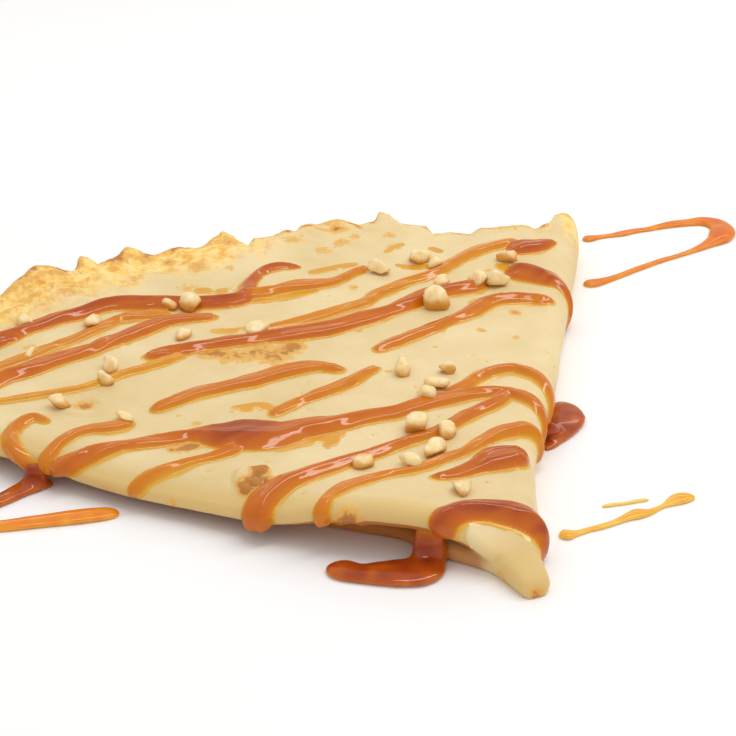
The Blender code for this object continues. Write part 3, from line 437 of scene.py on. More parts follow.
# The other colours, and how far red, green and blue light spread under the surface
CREAM = ((0.3, (0.71, 0.55, 0.27)), (0.7, (0.81, 0.66, 0.38)))
GOLDEN = ((0.36, (0.78, 0.36, 0.05)), (0.45, (0.90, 0.58, 0.14)), (0.58, (0.95, 0.71, 0.29)))
# Painted shade: the darker warm tone of the near fold, the lower layers and the nose
FOLD_SHADE_COLOUR = (0.70, 0.51, 0.21)
# The turned-under faces' colour: their own browning, and painted shade under the folds and below the nose
UNDERSIDE_BROWN_AND_SHADE = (0.48, 0.18, 0.04)
TOASTED = (0.76, 0.44, 0.11)
BROWNED = (0.50, 0.21, 0.045)
NUT_CREAM = ((0.3, (0.82, 0.58, 0.23)), (0.6, (0.93, 0.78, 0.46)))
# Honey stain with painted shade, on the nuts' lower sides
NUT_STAIN_AND_SHADE = (0.70, 0.35, 0.05)
WHITE = ((0.0, (0.945, 0.95, 0.965)), (1.0, (0.96, 0.965, 0.98)))
FOOD_SPREAD = (1.0, 0.6, 0.25)
HONEY_SPREAD = (1.0, 0.35, 0.05)
# Between which values of their painted marks and grain together these looks set in
THIN_AT = (0.6, 1.3)
TOASTED_AT = (0.97, 1.25)
BROWNED_AT = (1.38, 1.68)
STAIN_AND_SHADE_AT = (0.55, -0.1)

TABLE_CORNERS = ((-900, -900, 0), (900, -900, 0), (900, 1500, 0), (-900, 1500, 0))

# The light from all round, by height: warm near the table and white overhead
SKY = ((0.0, (1.0, 0.74, 0.48)), (0.3, (1.0, 0.89, 0.76)), (0.65, (1.0, 0.995, 0.985)))
SKY_STRENGTH = 0.80
# The lamps: place and size in millimetres, power in watts and turns
LIGHTS = {"overhead": ((250, 120, 620), (760, 85), 1.65, (0.0, 0.0, math.radians(33.0))),
          "behind": ((-35, 340, 210), (500, 30), 0.11, (math.radians(-50.0), 0.0, 0.0))}

# The camera, at the photo's viewing angle
CAMERA_PLACE = (-27.7, -274.17, 178.48)
CAMERA_DOWN = math.radians(26.5)
LENS = 99.16
SENSOR = 36.0


def bump(value, middle, reach):
    return np.exp(-((value - middle) / reach) ** 2)


def ease(value, low, high):
    share = np.clip((value - low) / (high - low), 0.0, 1.0)
    return share * share * (3.0 - 2.0 * share)


def wander(x, y, size, seed):
    """Smooth noise from -1 to 1 over plan positions, with features of about the given size."""
    lattice = np.random.default_rng(seed).uniform(-1.0, 1.0, (NOISE_CELLS, NOISE_CELLS))
    gx = np.asarray(x, float) / size
    gy = np.asarray(y, float) / size
    ix = np.floor(gx).astype(int)
    iy = np.floor(gy).astype(int)
    fx = ease(gx - ix, 0.0, 1.0)
    fy = ease(gy - iy, 0.0, 1.0)
    rows = []
    for row in (iy % NOISE_CELLS, (iy + 1) % NOISE_CELLS):
        rows.append(lattice[ix % NOISE_CELLS, row] * (1 - fx) + lattice[(ix + 1) % NOISE_CELLS, row] * fx)
    return rows[0] * (1 - fy) + rows[1] * fy


def layered(x, y, layers):
    """Noise of several sizes together."""
    return sum(amount * wander(x, y, size, seed) for amount, size, seed in layers)


def inset(r, bows):
    """How far a fold lies inside a straight line from the tip to its corner."""
    return sum(depth * bump(r, middle, reach) for depth, middle, reach in bows)


def arc_width(r):
    return r * OPENING - inset(r, RIGHT_BOWS) - inset(r, NEAR_BOWS)


def squash(r):
    """The layers press together towards the tip."""
    return TIP_SQUASH + (1.0 - TIP_SQUASH) * ease(r, *SQUASH_LIMITS)


def most_droop(r):
    """How far the upper two layers droop at the near fold."""
    droop = DROOP + (DROOP_AT_CORNER - DROOP) * ease(r, *CORNER_LIMITS)
    return droop * ease(r, *DROOP_LIMITS)


def layer_heights(r, u):
    """Heights of the four layers' middles, lowest first. u is 0 at the right fold and 1 at the near one."""
    k = squash(r)
    closing = ease(r, *CLOSING_LIMITS) * ease(u, *CLOSING_SHARES)
    lift = LIFT * bump(r, LIFT_AT, LIFT_REACH) * ease(u, *LIFT_SHARES)
    swell = SWELL * np.sin(r / SWELL_LENGTH + SWELL_SLANT * u) * np.sin(SWELL_TURNS * u + SWELL_START)
    curl = RIM_CURL * ease(r, CREPE_RADIUS - CURL_WIDTH, CREPE_RADIUS + CURL_BEYOND)
    curl = curl * (1.0 - CURL_CHANGE + CURL_CHANGE * np.sin(CURL_WAVES * u))
    into = (DROOP_REACH - arc_width(r) * (1.0 - u)) / (DROOP_REACH - DROOP_END)
    droop = most_droop(r) * np.clip(into, 0.0, MOST_INTO_DROOP) ** 2
    lower = (LOWER_GAP + LOWER_BULGE * bump(u, BULGE_AT, BULGE_REACH)) * k
    middle = (MIDDLE_GAP - MIDDLE_CLOSING * closing + lift) * k
    upper = (UPPER_GAP - UPPER_CLOSING * closing + swell + curl) * k
    sheet = SHEET * k
    bottom = sheet / 2 + 0.0 * u
    third = bottom + sheet + lower
    second = third + sheet + middle - droop
    top = second + sheet + upper
    return bottom, third, second, top


def place(r, s):
    """Plan position at radius r, a distance s along the arc from the right fold."""
    start = RIGHT_FOLD_LEAN - inset(r, RIGHT_BOWS) / r
    end = start - arc_width(r) / r
    share = s / arc_width(r)
    angle = start - s / r
    roundness = ease(r, *ROUND_LIMITS)
    straight_x = r * (np.sin(start) + (np.sin(end) - np.sin(start)) * share)
    straight_y = r * (np.cos(start) + (np.cos(end) - np.cos(start)) * share)
    x = straight_x + roundness * (r * np.sin(angle) - straight_x)
    y = straight_y + roundness * (r * np.cos(angle) - straight_y)
    return x, y


def near_fold(r):
    """Arc position, height, radius and tilt of the near fold of the upper two layers."""
    half_sheet = SHEET * squash(r) / 2
    width = arc_width(r)
    tilt = np.arctan(2.0 * most_droop(r) / (DROOP_REACH - DROOP_END))
    near = layer_heights(r, 1.0)
    radius = (near[3] - near[2]) / 2
    # The radius settles within three rounds
    for _ in range(3):
        middle = width - radius - half_sheet
        top = layer_heights(r, (middle + radius * np.sin(tilt)) / width)[3]
        second = layer_heights(r, (middle - radius * np.sin(tilt)) / width)[2]
        radius = (top - second) / 2 / np.cos(tilt)
    return middle, (top + second) / 2, radius, tilt


def folds(r):
    """Arc position, height, radius and tilt of the centre line of each U-shaped fold."""
    k = squash(r)
    sheet = SHEET * k
    right = layer_heights(r, 0.0)
    near = layer_heights(r, 1.0)
    setback = SETBACK + SETBACK_FURTHER_ON * ease(r, *SETBACK_LIMITS)
    outer = (right[3] - right[0]) / 2
    inner = (right[2] - right[1]) / 2
    lower = (near[1] - near[0]) / 2
    return {
        "outer": (outer + sheet / 2, (right[3] + right[0]) / 2, outer, 0.0),
        "inner": (1.5 * sheet + INNER_SETBACK * k + inner, (right[2] + right[1]) / 2, inner, 0.0),
        "near_upper": near_fold(r),
        "near_lower": (arc_width(r) - setback * k - lower - sheet / 2, (near[1] + near[0]) / 2, lower, 0.0),
    }


def section(part, share, r):
    """Arc position and height of a point on the sheet's middle, and how far round the sheet it is."""
    bends = folds(r)
    if part in bends:
        s, z, radius, tilt = bends[part]
        turn = math.pi * (1.0 - share if part == "outer" else share)
        towards = -1.0 if part in ("inner", "outer") else 1.0
        unrolled = s + towards * radius * (turn + np.sin(tilt))
        return s + towards * radius * np.sin(turn + tilt), z + radius * np.cos(turn + tilt), unrolled
    ends = {"top": ("outer", "near_upper", 3), "second": ("near_upper", "inner", 2),
            "third": ("inner", "near_lower", 1), "bottom": ("near_lower", "outer", 0)}
    first, last, layer = ends[part]
    start = bends[first][0]
    end = bends[last][0]
    lean = bends["near_upper"][2] * np.sin(bends["near_upper"][3])
    if part == "top":
        end = end + lean
    if part == "second":
        start = start - lean
    s = start + (end - start) * share
    return s, layer_heights(r, s / arc_width(r))[layer], s


def surface(x, y):
    """Points and outward directions on top of the folded crepe, round its folds too, and how far round."""
    r = np.hypot(x, y)
    s = r * (RIGHT_FOLD_LEAN - np.arctan2(x, y)) - inset(r, RIGHT_BOWS)
    bends = folds(r)
    half = SHEET * squash(r) / 2
    s_right = bends["outer"][0]
    near_middle, near_height, near_radius, tilt = bends["near_upper"]
    s_near = near_middle + near_radius * np.sin(tilt)
    right = s < s_right
    over_fold = right | (s > s_near)
    inside = np.where(right, s_right, np.where(over_fold, near_middle, s))
    px, py = place(r, inside)
    qx, qy = place(r, inside + AHEAD)
    length = np.hypot(qx - px, qy - py)
    along = np.stack(((qx - px) / length, (qy - py) / length, 0.0 * px), axis=-1)
    width = arc_width(r)
    height = layer_heights(r, inside / width)[3]
    slope = (layer_heights(r, (inside + AHEAD) / width)[3] - height) / AHEAD
    flat = np.array(UP) - along * slope[..., None]
    flat = flat / np.linalg.norm(flat, axis=-1, keepdims=True)
    middle = np.where(right, bends["outer"][1], near_height)
    reach = np.where(right, bends["outer"][2], near_radius) + half
    turn = np.where(right, (s_right - s) / reach, tilt + np.maximum(s - s_near, 0.0) / reach)
    turn = np.where(over_fold, turn, 0.0)
    bent = np.minimum(turn, MOST_WRAP)[..., None]
    out = along * np.where(right, -1.0, 1.0)[..., None]
    round_fold = out * np.sin(bent) + np.array(UP) * np.cos(bent)
    facing = np.where(over_fold[..., None], round_fold, flat)
    on_top = np.stack((px, py, height), axis=-1) + flat * half[..., None]
    on_fold = np.stack((px, py, middle), axis=-1) + round_fold * reach[..., None]
    return np.where(over_fold[..., None], on_fold, on_top), facing, turn


def to_frame(points):
    """Plan millimetres to the frame's metres."""
    return (np.asarray(points, float) - (ORIGIN_X, ORIGIN_Y, 0.0)) * MM


def mesh_object(name, points, faces):
    mesh = bpy.data.meshes.new(name)
    mesh.from_pydata(to_frame(points).tolist(), [], faces)
    mesh.update()
    mesh.shade_smooth()
    thing = bpy.data.objects.new(name, mesh)
    bpy.context.scene.collection.objects.link(thing)
    return thing


def paint(thing, name, values):
    """Stores one number at each corner point, for the material to read."""
    attribute = thing.data.attributes.new(name, "FLOAT", "POINT")
    attribute.data.foreach_set("value", np.asarray(values, np.float32))


def corner_values(thing, name):
    """Three numbers for each of the mesh's corner points."""
    flat = np.empty(len(thing.data.vertices) * 3)
    thing.data.vertices.foreach_get(name, flat)
    return flat.reshape(-1, 3)


def corner_points(thing):
    """The mesh's points in plan millimetres."""
    return corner_values(thing, "co") / MM + (ORIGIN_X, ORIGIN_Y, 0.0)


def away_from_roll(loop):
    """0 at the smooth end of the right fold, and 1 over the rest of the loop."""
    return ease(loop, *ROLL_ABOVE) * ease(loop, *ROLL_BELOW)


def ragged_rim(loop):
    """Radius of the ragged rim at each position round the loop."""
    stops = TOP_RIM + LOWER_RIM
    radii = np.interp(loop, [stop[0] for stop in stops], [stop[1] for stop in stops])
    return radii + layered(loop, 0.0 * loop, RIM_NOISE) * away_from_roll(loop)


def finished_rim(loop):
    """The rim's radius once the top layer's raggedness is partly lifted, and its edge torn."""
    ragged = ragged_rim(loop)
    torn = TORN * wander(loop * TOP_LENGTH, 0.0 * loop, TORN_LENGTH, TORN_SEED)
    return np.where(loop < 1.0, RIM_BASE + RAGGED_SHARE * (ragged - RIM_BASE) + RIM_OUT + torn, ragged)


def spot_field(x, y, spots):
    """Sum of soft round spots over plan positions."""
    return sum(strength * bump(np.hypot(x - sx, y - sy), 0.0, reach) for sx, sy, reach, strength in spots)


def sheet_grid(last_ring, rings, columns):
    """The sheet's middle: positions, unrolled places, radii, places round the loop and the rim's radii."""
    shares = np.linspace(0.0, 1.0, rings)[:, None]
    blocks = []
    for number, (part, count) in enumerate(columns.items()):
        along = np.arange(count) / count
        if part == "second":
            along = along ** GATHERING
        loop = number + along
        rim = last_ring(loop)
        r = TIP_RADIUS + (rim - TIP_RADIUS) * shares
        s, z, unrolled = section(part, along[None, :] + 0.0 * r, r)
        x, y = place(r, s)
        ux, uy = place(r, unrolled)
        blocks.append((x, y, z, ux, uy, r, loop[None, :] + 0.0 * r, rim[None, :] + 0.0 * r))
    return [np.concatenate(parts, axis=1) for parts in zip(*blocks)]


def outward(points):
    """Unit directions square to a grid of points that closes on itself along its second axis."""
    around = np.roll(points, -1, axis=1) - np.roll(points, 1, axis=1)
    away = np.gradient(points, axis=0)
    direction = np.cross(away, around)
    return direction / np.maximum(np.linalg.norm(direction, axis=2, keepdims=True), TINY)


def grid_faces(rings, columns, closed):
    """Quads over a grid of points, closed along its columns, and along its rings too where closed is 1."""
    faces = []
    for ring in range(rings - 1 + closed):
        a = ring * columns
        b = (ring + 1) % rings * columns
        for i in range(columns):
            j = (i + 1) % columns
            faces.append((a + i, a + j, b + j, b + i))
    return faces


def capped_faces(rings, columns):
    """Faces of a closed form: quads along it and a cap at each end."""
    last = range((rings - 1) * columns, rings * columns)
    return grid_faces(rings, columns, 0) + [tuple(range(columns))[::-1], tuple(last)]


def wrinkles(ux, uy, r, rim, loop):
    """Waves from -1 to 1 along the rim's left half, where the thin edge dried."""
    there = ease(loop, *WRINKLED_SHARES) * (loop < 1.0) * ease(rim - r, *WRINKLE_FADE)
    turn = (rim - r) / WRINKLE_LENGTH + layered(ux, uy, WRINKLE_NOISE)
    return there * np.sin(2.0 * math.pi * turn)


def relief(ux, uy, r, rim, loop):
    """Height of the baked surface's bubbles, crags and waves, in millimetres."""
    height = layered(ux, uy, BAKED_NOISE)
    holes = tuple(spot + HOLE for spot in SMALL_HOLES)
    for x, y, flatness, radius, width, rise, reach, dent in BLISTERS + holes:
        away = np.hypot(ux - x, (uy - y) * flatness)
        height += rise * bump(away, radius, width) - dent * bump(away, 0.0, reach)
    crag_x, crag_y, narrowness, radius, width, rise = CRAG
    crag = bump(np.hypot((ux - crag_x) * narrowness, uy - crag_y), radius, width)
    height += (rise + layered(ux, uy, CRAG_NOISE)) * crag
    height += np.clip(spot_field(ux, uy, LACE), 0.0, 1.0) * layered(ux, uy, LACE_NOISE)
    edge = ease(rim - r, EDGE_WIDTH, 0.0) * away_from_roll(loop)
    height += edge ** 2 * layered(ux, uy, EDGE_NOISE) + WRINKLE * wrinkles(ux, uy, r, rim, loop)
    return height * (ease(loop, *RELIEF_ENDS) + ease(loop, *RELIEF_STARTS))


def paint_sheet(thing, x, y, r, rim, loop, outer_face):
    """Where the sheet is browned and thin, its turned-under faces' browning and painted shade, and the
    painted shade by the near fold and tip.
    """
    to_rim = rim - r
    golden = 1.0 - PALENESS * ease(loop, *PALE_SHARES)
    brown = RIM_BROWN * ease(to_rim, *RIM_BROWN_WIDTH)
    brown += RIM_TOAST * golden * ease(to_rim, *RIM_TOAST_WIDTH)
    brown += WRINKLE_BROWN * np.maximum(wrinkles(x, y, r, rim, loop), 0.0)
    crumbs = np.clip(layered(x, y, CRUMB_NOISE) - CRUMBS_ABOVE, 0.0, 1.0) * ease(to_rim, *CRUMB_WIDTH)
    brown += CRUMB_BROWN * crumbs * (loop < 1.0)
    spots = BROWN_SPOTS + tuple(spot + HOLE_SPOT for spot in SMALL_HOLES)
    brown += (spot_field(x, y, spots) + LACE_BROWN * spot_field(x, y, LACE)) * outer_face
    paint(thing, "brown", brown)
    paint(thing, "thin", golden * ease(to_rim, *THIN_WIDTH))
    # The turned-under faces: browning together with painted shade
    paint(thing, "under", 1.0 - outer_face)
    # Painted shade over the last stretch before the near fold, over the lower layers and round the tip
    to_near_fold = np.where(loop < 1.0, arc_width(r) * (1.0 - loop), 0.0)
    painted_fold_shade = ease(to_near_fold, FOLD_SHADE_WIDTH, 0.0) * (loop < 7.0) + ease(r, FOLD_SHADE_TIP, 0.5 * FOLD_SHADE_TIP)
    paint(thing, "painted_fold_shade", np.minimum(painted_fold_shade, 1.0))


def crepe_sheet():
    """The folded sheet with a ragged, curled and browned rim."""
    x, y, z, ux, uy, r, loop, rim = sheet_grid(finished_rim, RINGS, COLUMNS)
    ragged = np.clip(ragged_rim(loop) - RIM_BASE, *RAGGED_LIMITS)
    lift = RAGGED_LIFT * ragged * ease(rim - r, RAGGED_WIDTH, 0.0) * away_from_roll(loop)
    middle = np.stack((x, y, z + np.where(loop < 1.0, lift, 0.0)), axis=2)
    middle = middle + outward(middle) * relief(ux, uy, r, rim, loop)[..., None]
    half = SHEET * squash(r) / 2 * (1.0 - RIM_THINNING * ease(rim - r, THINNED_WIDTH, 0.0))
    across = outward(middle) * half[..., None]
    outside = middle + across
    inside = middle - across
    outside[..., 2] = np.maximum(outside[..., 2], 0.0)
    inside[..., 2] = np.maximum(inside[..., 2], LEAST_INSIDE)
    points = np.concatenate((outside, inside[::-1]))
    thing = mesh_object("crepe_sheet", points.reshape(-1, 3), grid_faces(2 * RINGS, x.shape[1], 1))
    values = [np.concatenate((grid, grid[::-1])).ravel() for grid in (ux, uy, r, rim, loop)]
    outer = (loop < OUTER_BEFORE) | (loop > OUTER_AFTER)
    paint_sheet(thing, *values, np.concatenate((outer, 0.0 * outer)).ravel())
    return thing


def smooth_route(points, step):
    """Points about a step apart on a smooth curve through the route's own points, ends included."""
    points = [np.array(point, float) for point in points]
    padded = [2 * points[0] - points[1]] + points + [2 * points[-1] - points[-2]]
    route = []
    for a, b, c, d in zip(padded, padded[1:], padded[2:], padded[3:]):
        count = max(1, round(float(np.linalg.norm((c - b)[:-1])) / step))
        for i in range(count):
            t = i / count
            route.append(0.5 * (2 * b + (c - a) * t + (2 * a - 5 * b + 4 * c - d) * t ** 2
                                + (3 * b - a - 3 * c + d) * t ** 3))
    route.append(points[-1])
    return route


def bead_height(width):
    """Honey stands higher where it is wider, up to a limit."""
    return np.minimum(LEAST_HEIGHT + HEIGHT_TO_WIDTH * width, MOST_HEIGHT)


def loft(frames, sides, power=1.0):
    """Points and faces of a closed bead from frames of centre, across, up, half width, height and depth."""
    points = []
    for centre, across, up, half, height, depth in frames:
        for i in range(sides - 2):
            turn = math.pi * i / (sides - 3)
            reach = half * math.copysign(abs(math.cos(turn)) ** power, math.cos(turn))
            points.append(centre + across * reach + up * (height * abs(math.sin(turn)) ** power))
        for way in (-BEAD_FOOT, BEAD_FOOT):
            points.append(centre + across * (half * way) - up * depth)
    return points, capped_faces(len(frames), sides)


def bead_stations(points, seed):
    """Places along a strand with widths that vary, as poured honey's do, and round off at both ends."""
    stations = np.array(smooth_route(points, ROUTE_STEP))
    places = ROUTE_STEP * np.arange(len(stations))
    stations[:, -1] *= 1.0 + WOBBLE * wander(places, 0.0 * places, WOBBLE_LENGTH, seed)
    steps = np.linalg.norm(np.diff(stations[:, :-1], axis=0), axis=1)
    along = np.concatenate(((0.0,), np.cumsum(steps)))
    from_end = np.minimum(along, along[-1] - along) / (END_REACH * stations[:, -1] / 2)
    narrowing = 1.0 - np.maximum(1.0 - from_end, 0.0) ** 2
    stations[:, -1] *= np.sqrt(np.maximum(narrowing, LEAST_END ** 2))
    return stations


def strand_field(points, seed, x, y):
    """Height of one strand of honey over plan positions, and how far outside it each of them lies."""
    stations = bead_stations(points, seed)
    half = stations[:, 2] / 2
    gap = np.hypot(x[..., None] - stations[:, 0], y[..., None] - stations[:, 1])
    nearest = np.argmin(gap / half, axis=-1)
    inside = np.take_along_axis(gap, nearest[..., None], -1)[..., 0] / half[nearest]
    way = np.gradient(stations[:, :2], axis=0)
    way = way / np.linalg.norm(way, axis=1, keepdims=True)
    to_side = (y - stations[nearest, 1]) * way[nearest, 0] - (x - stations[nearest, 0]) * way[nearest, 1]
    drift = RIDGE_DRIFT * wander(nearest * ROUTE_STEP, 0.0 * x, RIDGE_DRIFT_LENGTH, seed + 1)
    ridges = 1.0 + RIDGE_HEIGHT * np.cos(math.pi * (RIDGES * to_side / half[nearest] + drift))
    height = bead_height(stations[:, 2])[nearest] * np.minimum(1.0, half[nearest]) * ridges
    return height * np.clip(1.0 - inside ** 2, 0.0, 1.0) ** BEAD_FULLNESS, np.min(gap - half, axis=-1)


def strand_window(points, xs, ys):
    """The part of the field's grid that a strand can reach."""
    route = np.array(points)
    low = route.min(axis=0) - FIELD_MARGIN - route[:, 2].max() / 2
    high = route.max(axis=0) + FIELD_MARGIN + route[:, 2].max() / 2
    return slice(*np.searchsorted(xs, (low[0], high[0]))), slice(*np.searchsorted(ys, (low[1], high[1])))


def honey_field():
    """Honey over a fine grid of plan positions: positions, thickness and depth of colour."""
    (left, right), (near, far) = FIELD_SIDES
    xs = np.arange(left, right, FIELD_STEP)
    ys = np.arange(near, far, FIELD_STEP)
    x, y = np.meshgrid(xs, ys, indexing="ij")
    warped_x = x + layered(x, y, WARP_X)
    warped_y = y + layered(x, y, WARP_Y)
    reach = np.maximum(FILM_REACH * (FILM_EVENNESS + layered(x, y, FILM_EDGE_NOISE)), LEAST_REACH)
    cubes = np.zeros_like(x)
    colour = np.zeros_like(x)
    film = np.zeros_like(x)
    for number, (strength, points) in enumerate(STRANDS.values()):
        window = strand_window(points, xs, ys)
        seed = STRAND_SEED + 3 * number
        height, outside = strand_field(points, seed, warped_x[window], warped_y[window])
        cubes[window] += height ** 3
        colour[window] += height ** 3 * strength
        film[window] = np.maximum(film[window], FILM * ease(outside, reach[window], 0.0))
    for number, (width, places) in enumerate(FILMS):
        points = [(*spot, width) for spot in places]
        window = strand_window(points, xs, ys)
        seed = FILM_SEED + 3 * number
        height, _ = strand_field(points, seed, warped_x[window], warped_y[window])
        patchy = PATCH_COVER + layered(x[window], y[window], PATCH_NOISE)
        film[window] = np.maximum(film[window], np.clip(patchy * height, 0.0, SPREAD_HEIGHT))
    film = np.maximum(film, np.roll(film, -FILM_FALL, axis=1))
    thick = np.cbrt(cubes)
    shade = np.where(cubes > TINY, colour / np.maximum(cubes, TINY), 1.0)
    shade = shade + spot_field(x, y, (DARK_POOL,))
    along = x * math.cos(STREAK_LEAN) + y * math.sin(STREAK_LEAN)
    across = y * math.cos(STREAK_LEAN) - x * math.sin(STREAK_LEAN)
    streaks = 1.0 + layered(STREAK_STRETCH * along, across, STREAK_NOISE)
    depth = streaks * shade * np.sqrt(thick * DARK_THICKNESS) + film * (1.0 + layered(x, y, FILM_NOISE))
    return x, y, thick + film, depth


def honey_on_top(below):
    """The honey that lies on the crepe, thick in its strands and thin where it has spread."""
    x, y, thickness, depth = honey_field()
    points, facings, turn = surface(x, y)
    number = np.arange(x.size).reshape(x.shape)
    corners = np.stack((number[:-1, :-1], number[1:, :-1], number[1:, 1:], number[:-1, 1:]), axis=-1)
    wet = ((thickness > LEAST_WET) & (turn < MOST_WRAP)).ravel()[corners].any(axis=-1)
    reached = (turn < MOST_WRAP + WRAP_MARGIN).ravel()[corners].all(axis=-1)
    used, faces = np.unique(corners[wet & reached], return_inverse=True)
    base = points.reshape(-1, 3)[used]
    facing = facings.reshape(-1, 3)[used]
    height = thickness.ravel()[used]
    rise = np.zeros(len(base))
    starts = to_frame(base + facing * PROBE)
    for i, (start, way) in enumerate(zip(starts.tolist(), facing.tolist())):
        hit, _, _, distance = below.ray_cast(Vector(start), -Vector(way), 2.0 * PROBE * MM)
        if hit:
            rise[i] = PROBE - distance / MM
    further_on = ease(np.hypot(x, y).ravel()[used], *LEVEL_LIMITS)
    follows = 1.0 - further_on * (1.0 - np.exp(-height / LEVEL_THICKNESS))
    placed = base + facing * (rise * follows + height - SUNK)[:, None]
    placed[:, 2] = np.maximum(placed[:, 2], LOWEST_HONEY)
    thing = mesh_object("honey_drizzle", placed, faces.reshape(-1, 4).tolist())
    paint(thing, "depth", depth.ravel()[used])
    return thing


def neighbours(stations, i):
    """The places before and after one of a route's stations."""
    return stations[max(i - 1, 0)], stations[min(i + 1, len(stations) - 1)]


def table_bead(points, seed):
    """A bead of honey that lies on the table, flat underneath."""
    stations = bead_stations(points, seed)
    frames = []
    for i, (x, y, width) in enumerate(stations):
        before, after = neighbours(stations, i)
        across = Vector((after[0] - before[0], after[1] - before[1], 0.0)).cross(UP).normalized()
        height = bead_height(width)
        rise = BEAD_MIDDLE * height
        frames.append((Vector((x, y, rise)), across, UP, width / 2, height - rise, rise))
    return loft(frames, BEAD_SIDES)


def fall(points):
    """Honey running down from an edge to the table, as wide as it is deep."""
    stations = smooth_route(points, FALL_STEP)
    frames = []
    for i, station in enumerate(stations):
        before, after = neighbours(stations, i)
        way = Vector(after[:3] - before[:3])
        across = way.cross(Vector((0.0, 1.0, 0.0))).normalized()
        up = across.cross(way).normalized()
        half = station[3] / 2
        frames.append((Vector(station[:3]), across, up, half, FALL_HEIGHT * half, FALL_DEPTH * half))
    return loft(frames, BEAD_SIDES)


def together(forms):
    """The points and faces of several forms as those of one."""
    points = []
    faces = []
    for more_points, more_faces in forms:
        first = len(points)
        points += [tuple(point) for point in more_points]
        faces += [tuple(first + corner for corner in face) for face in more_faces]
    return points, faces


def tree_over(things):
    """Search tree over several pieces together, in metres."""
    forms = []
    for thing in things:
        forms.append((corner_values(thing, "co"), [face.vertices for face in thing.data.polygons]))
    return BVHTree.FromPolygons(*together(forms))


def melted(name, forms, voxel, passes):
    """One smooth skin over several overlapping solids."""
    thing = mesh_object(name, *together(forms))
    remesh = thing.modifiers.new("melt", "REMESH")
    remesh.mode = "VOXEL"
    remesh.voxel_size = voxel * MM
    smooth = thing.modifiers.new("soften", "SMOOTH")
    smooth.factor = 0.5
    smooth.iterations = passes
    bpy.context.view_layer.update()
    graph = bpy.context.evaluated_depsgraph_get()
    baked = bpy.data.meshes.new_from_object(thing.evaluated_get(graph))
    thing.modifiers.clear()
    thing.data = baked
    baked.shade_smooth()
    return thing


def honey_depth(thing, below, strength):
    """Paints how deep the honey is at each point: its distance to what it lies on, in millimetres."""
    points = corner_points(thing)
    strengths = strength * (1.0 + layered(points[:, 0], points[:, 1], DEPTH_NOISE))
    depths = []
    for point, here in zip(to_frame(points), strengths.tolist()):
        deep = point[2]
        if below:
            deep = min(deep, below.find_nearest(Vector(point))[3])
        depths.append(here * math.sqrt(max(deep / MM, 0.0) * DARK_THICKNESS))
    paint(thing, "depth", depths)


def honey_pools(below):
    """The honey that runs down from the crepe and lies beside it, melted into one skin."""
    lofts = [fall(points) for points in FALLS.values()]
    lofts += [table_bead(points, POOL_SEED + i) for i, points in enumerate(POOLS.values())]
    thing = melted("honey_pools", lofts, *POOL_MELT)
    honey_depth(thing, below, POOL_COLOUR)
    return thing


def loose_honey(name, strength, points, seed):
    thing = melted(name + "_skin", [table_bead(points, seed)], *LOOSE_MELT)
    honey_depth(thing, None, strength)
    return thing


def sheet_start():
    """The first stretch of the folded sheet as one closed form."""
    x, y, z, _, _, r, _, _ = sheet_grid(lambda loop: START_RADIUS + 0.0 * loop, START_RINGS, START_COLUMNS)
    points = np.stack((x, y, z), axis=2)
    points = points + outward(points) * (SHEET * squash(r) / 2)[..., None]
    return points.reshape(-1, 3), capped_faces(*x.shape)


def crepe_tip():
    """The pressed nose of the crepe, melted into the start of the folded sheet."""
    axis = Vector((math.sin(NOSE_LEAN), math.cos(NOSE_LEAN), 0.0))
    across = axis.cross(UP)
    frames = []
    for distance, width, height in smooth_route(NOSE, NOSE_STEP):
        rise = NOSE_MIDDLE * height
        centre = axis * (distance + NOSE_SET_IN) + UP * rise
        frames.append((centre, across, UP, width / 2, height - rise, rise))
    forms = [sheet_start(), loft(frames, NOSE_SIDES, NOSE_BOXINESS)]
    thing = melted("crepe_tip", forms, *TIP_MELT)
    points = corner_points(thing)
    sink = NOSE_OUT - NOSE_SINK * ease(np.hypot(points[:, 0], points[:, 1]), *NOSE_SINKS)
    points = points + corner_values(thing, "normal") * sink[:, None]
    points[:, 2] = np.maximum(points[:, 2], 0.0)
    thing.data.vertices.foreach_set("co", to_frame(points).ravel())
    thing.data.update()
    x, y, z = points.T
    paint(thing, "brown", spot_field(x, y, NOSE_SPOTS) * (0.4 + ease(z, 3.0, 1.0)))
    paint(thing, "thin", 0.0 * x)
    # Painted shade on the nose's lower side, mixed with its browning
    beside_nose = -x * math.cos(NOSE_LEAN) + y * math.sin(NOSE_LEAN)
    paint(thing, "under", 0.8 * ease(beside_nose, 4.0, 5.5) * ease(z, 4.0, 2.6))
    # Painted shade towards the tip
    paint(thing, "painted_fold_shade", ease(np.hypot(x, y), FOLD_SHADE_TIP, 0.5 * FOLD_SHADE_TIP))
    return thing


def nut_shape(size, draw):
    """Points and faces of one chopped piece: a few flat cuts with rounded edges."""
    bm = bmesh.new()
    bmesh.ops.create_icosphere(bm, subdivisions=3, radius=1.0)
    directions = np.array([vertex.co for vertex in bm.verts])
    faces = [tuple(vertex.index for vertex in face.verts) for face in bm.faces]
    bm.free()
    cuts = draw.normal(size=(NUT_CUTS, 3))
    cuts /= np.linalg.norm(cuts, axis=1, keepdims=True)
    depths = draw.uniform(*CUT_DEPTHS, NUT_CUTS)
    closeness = np.maximum(directions @ cuts.T, LEAST_FACING) / depths
    reach = (closeness ** NUT_SHARPNESS).sum(axis=1) ** (-1.0 / NUT_SHARPNESS)
    reach = np.minimum(reach, NUT_REACH) * (1.0 + NUT_ROUGHNESS * draw.normal(size=len(directions)))
    shape = directions * reach[:, None] * NUT_STRETCH
    return shape * (size / np.abs(shape[:, 0]).max()), faces


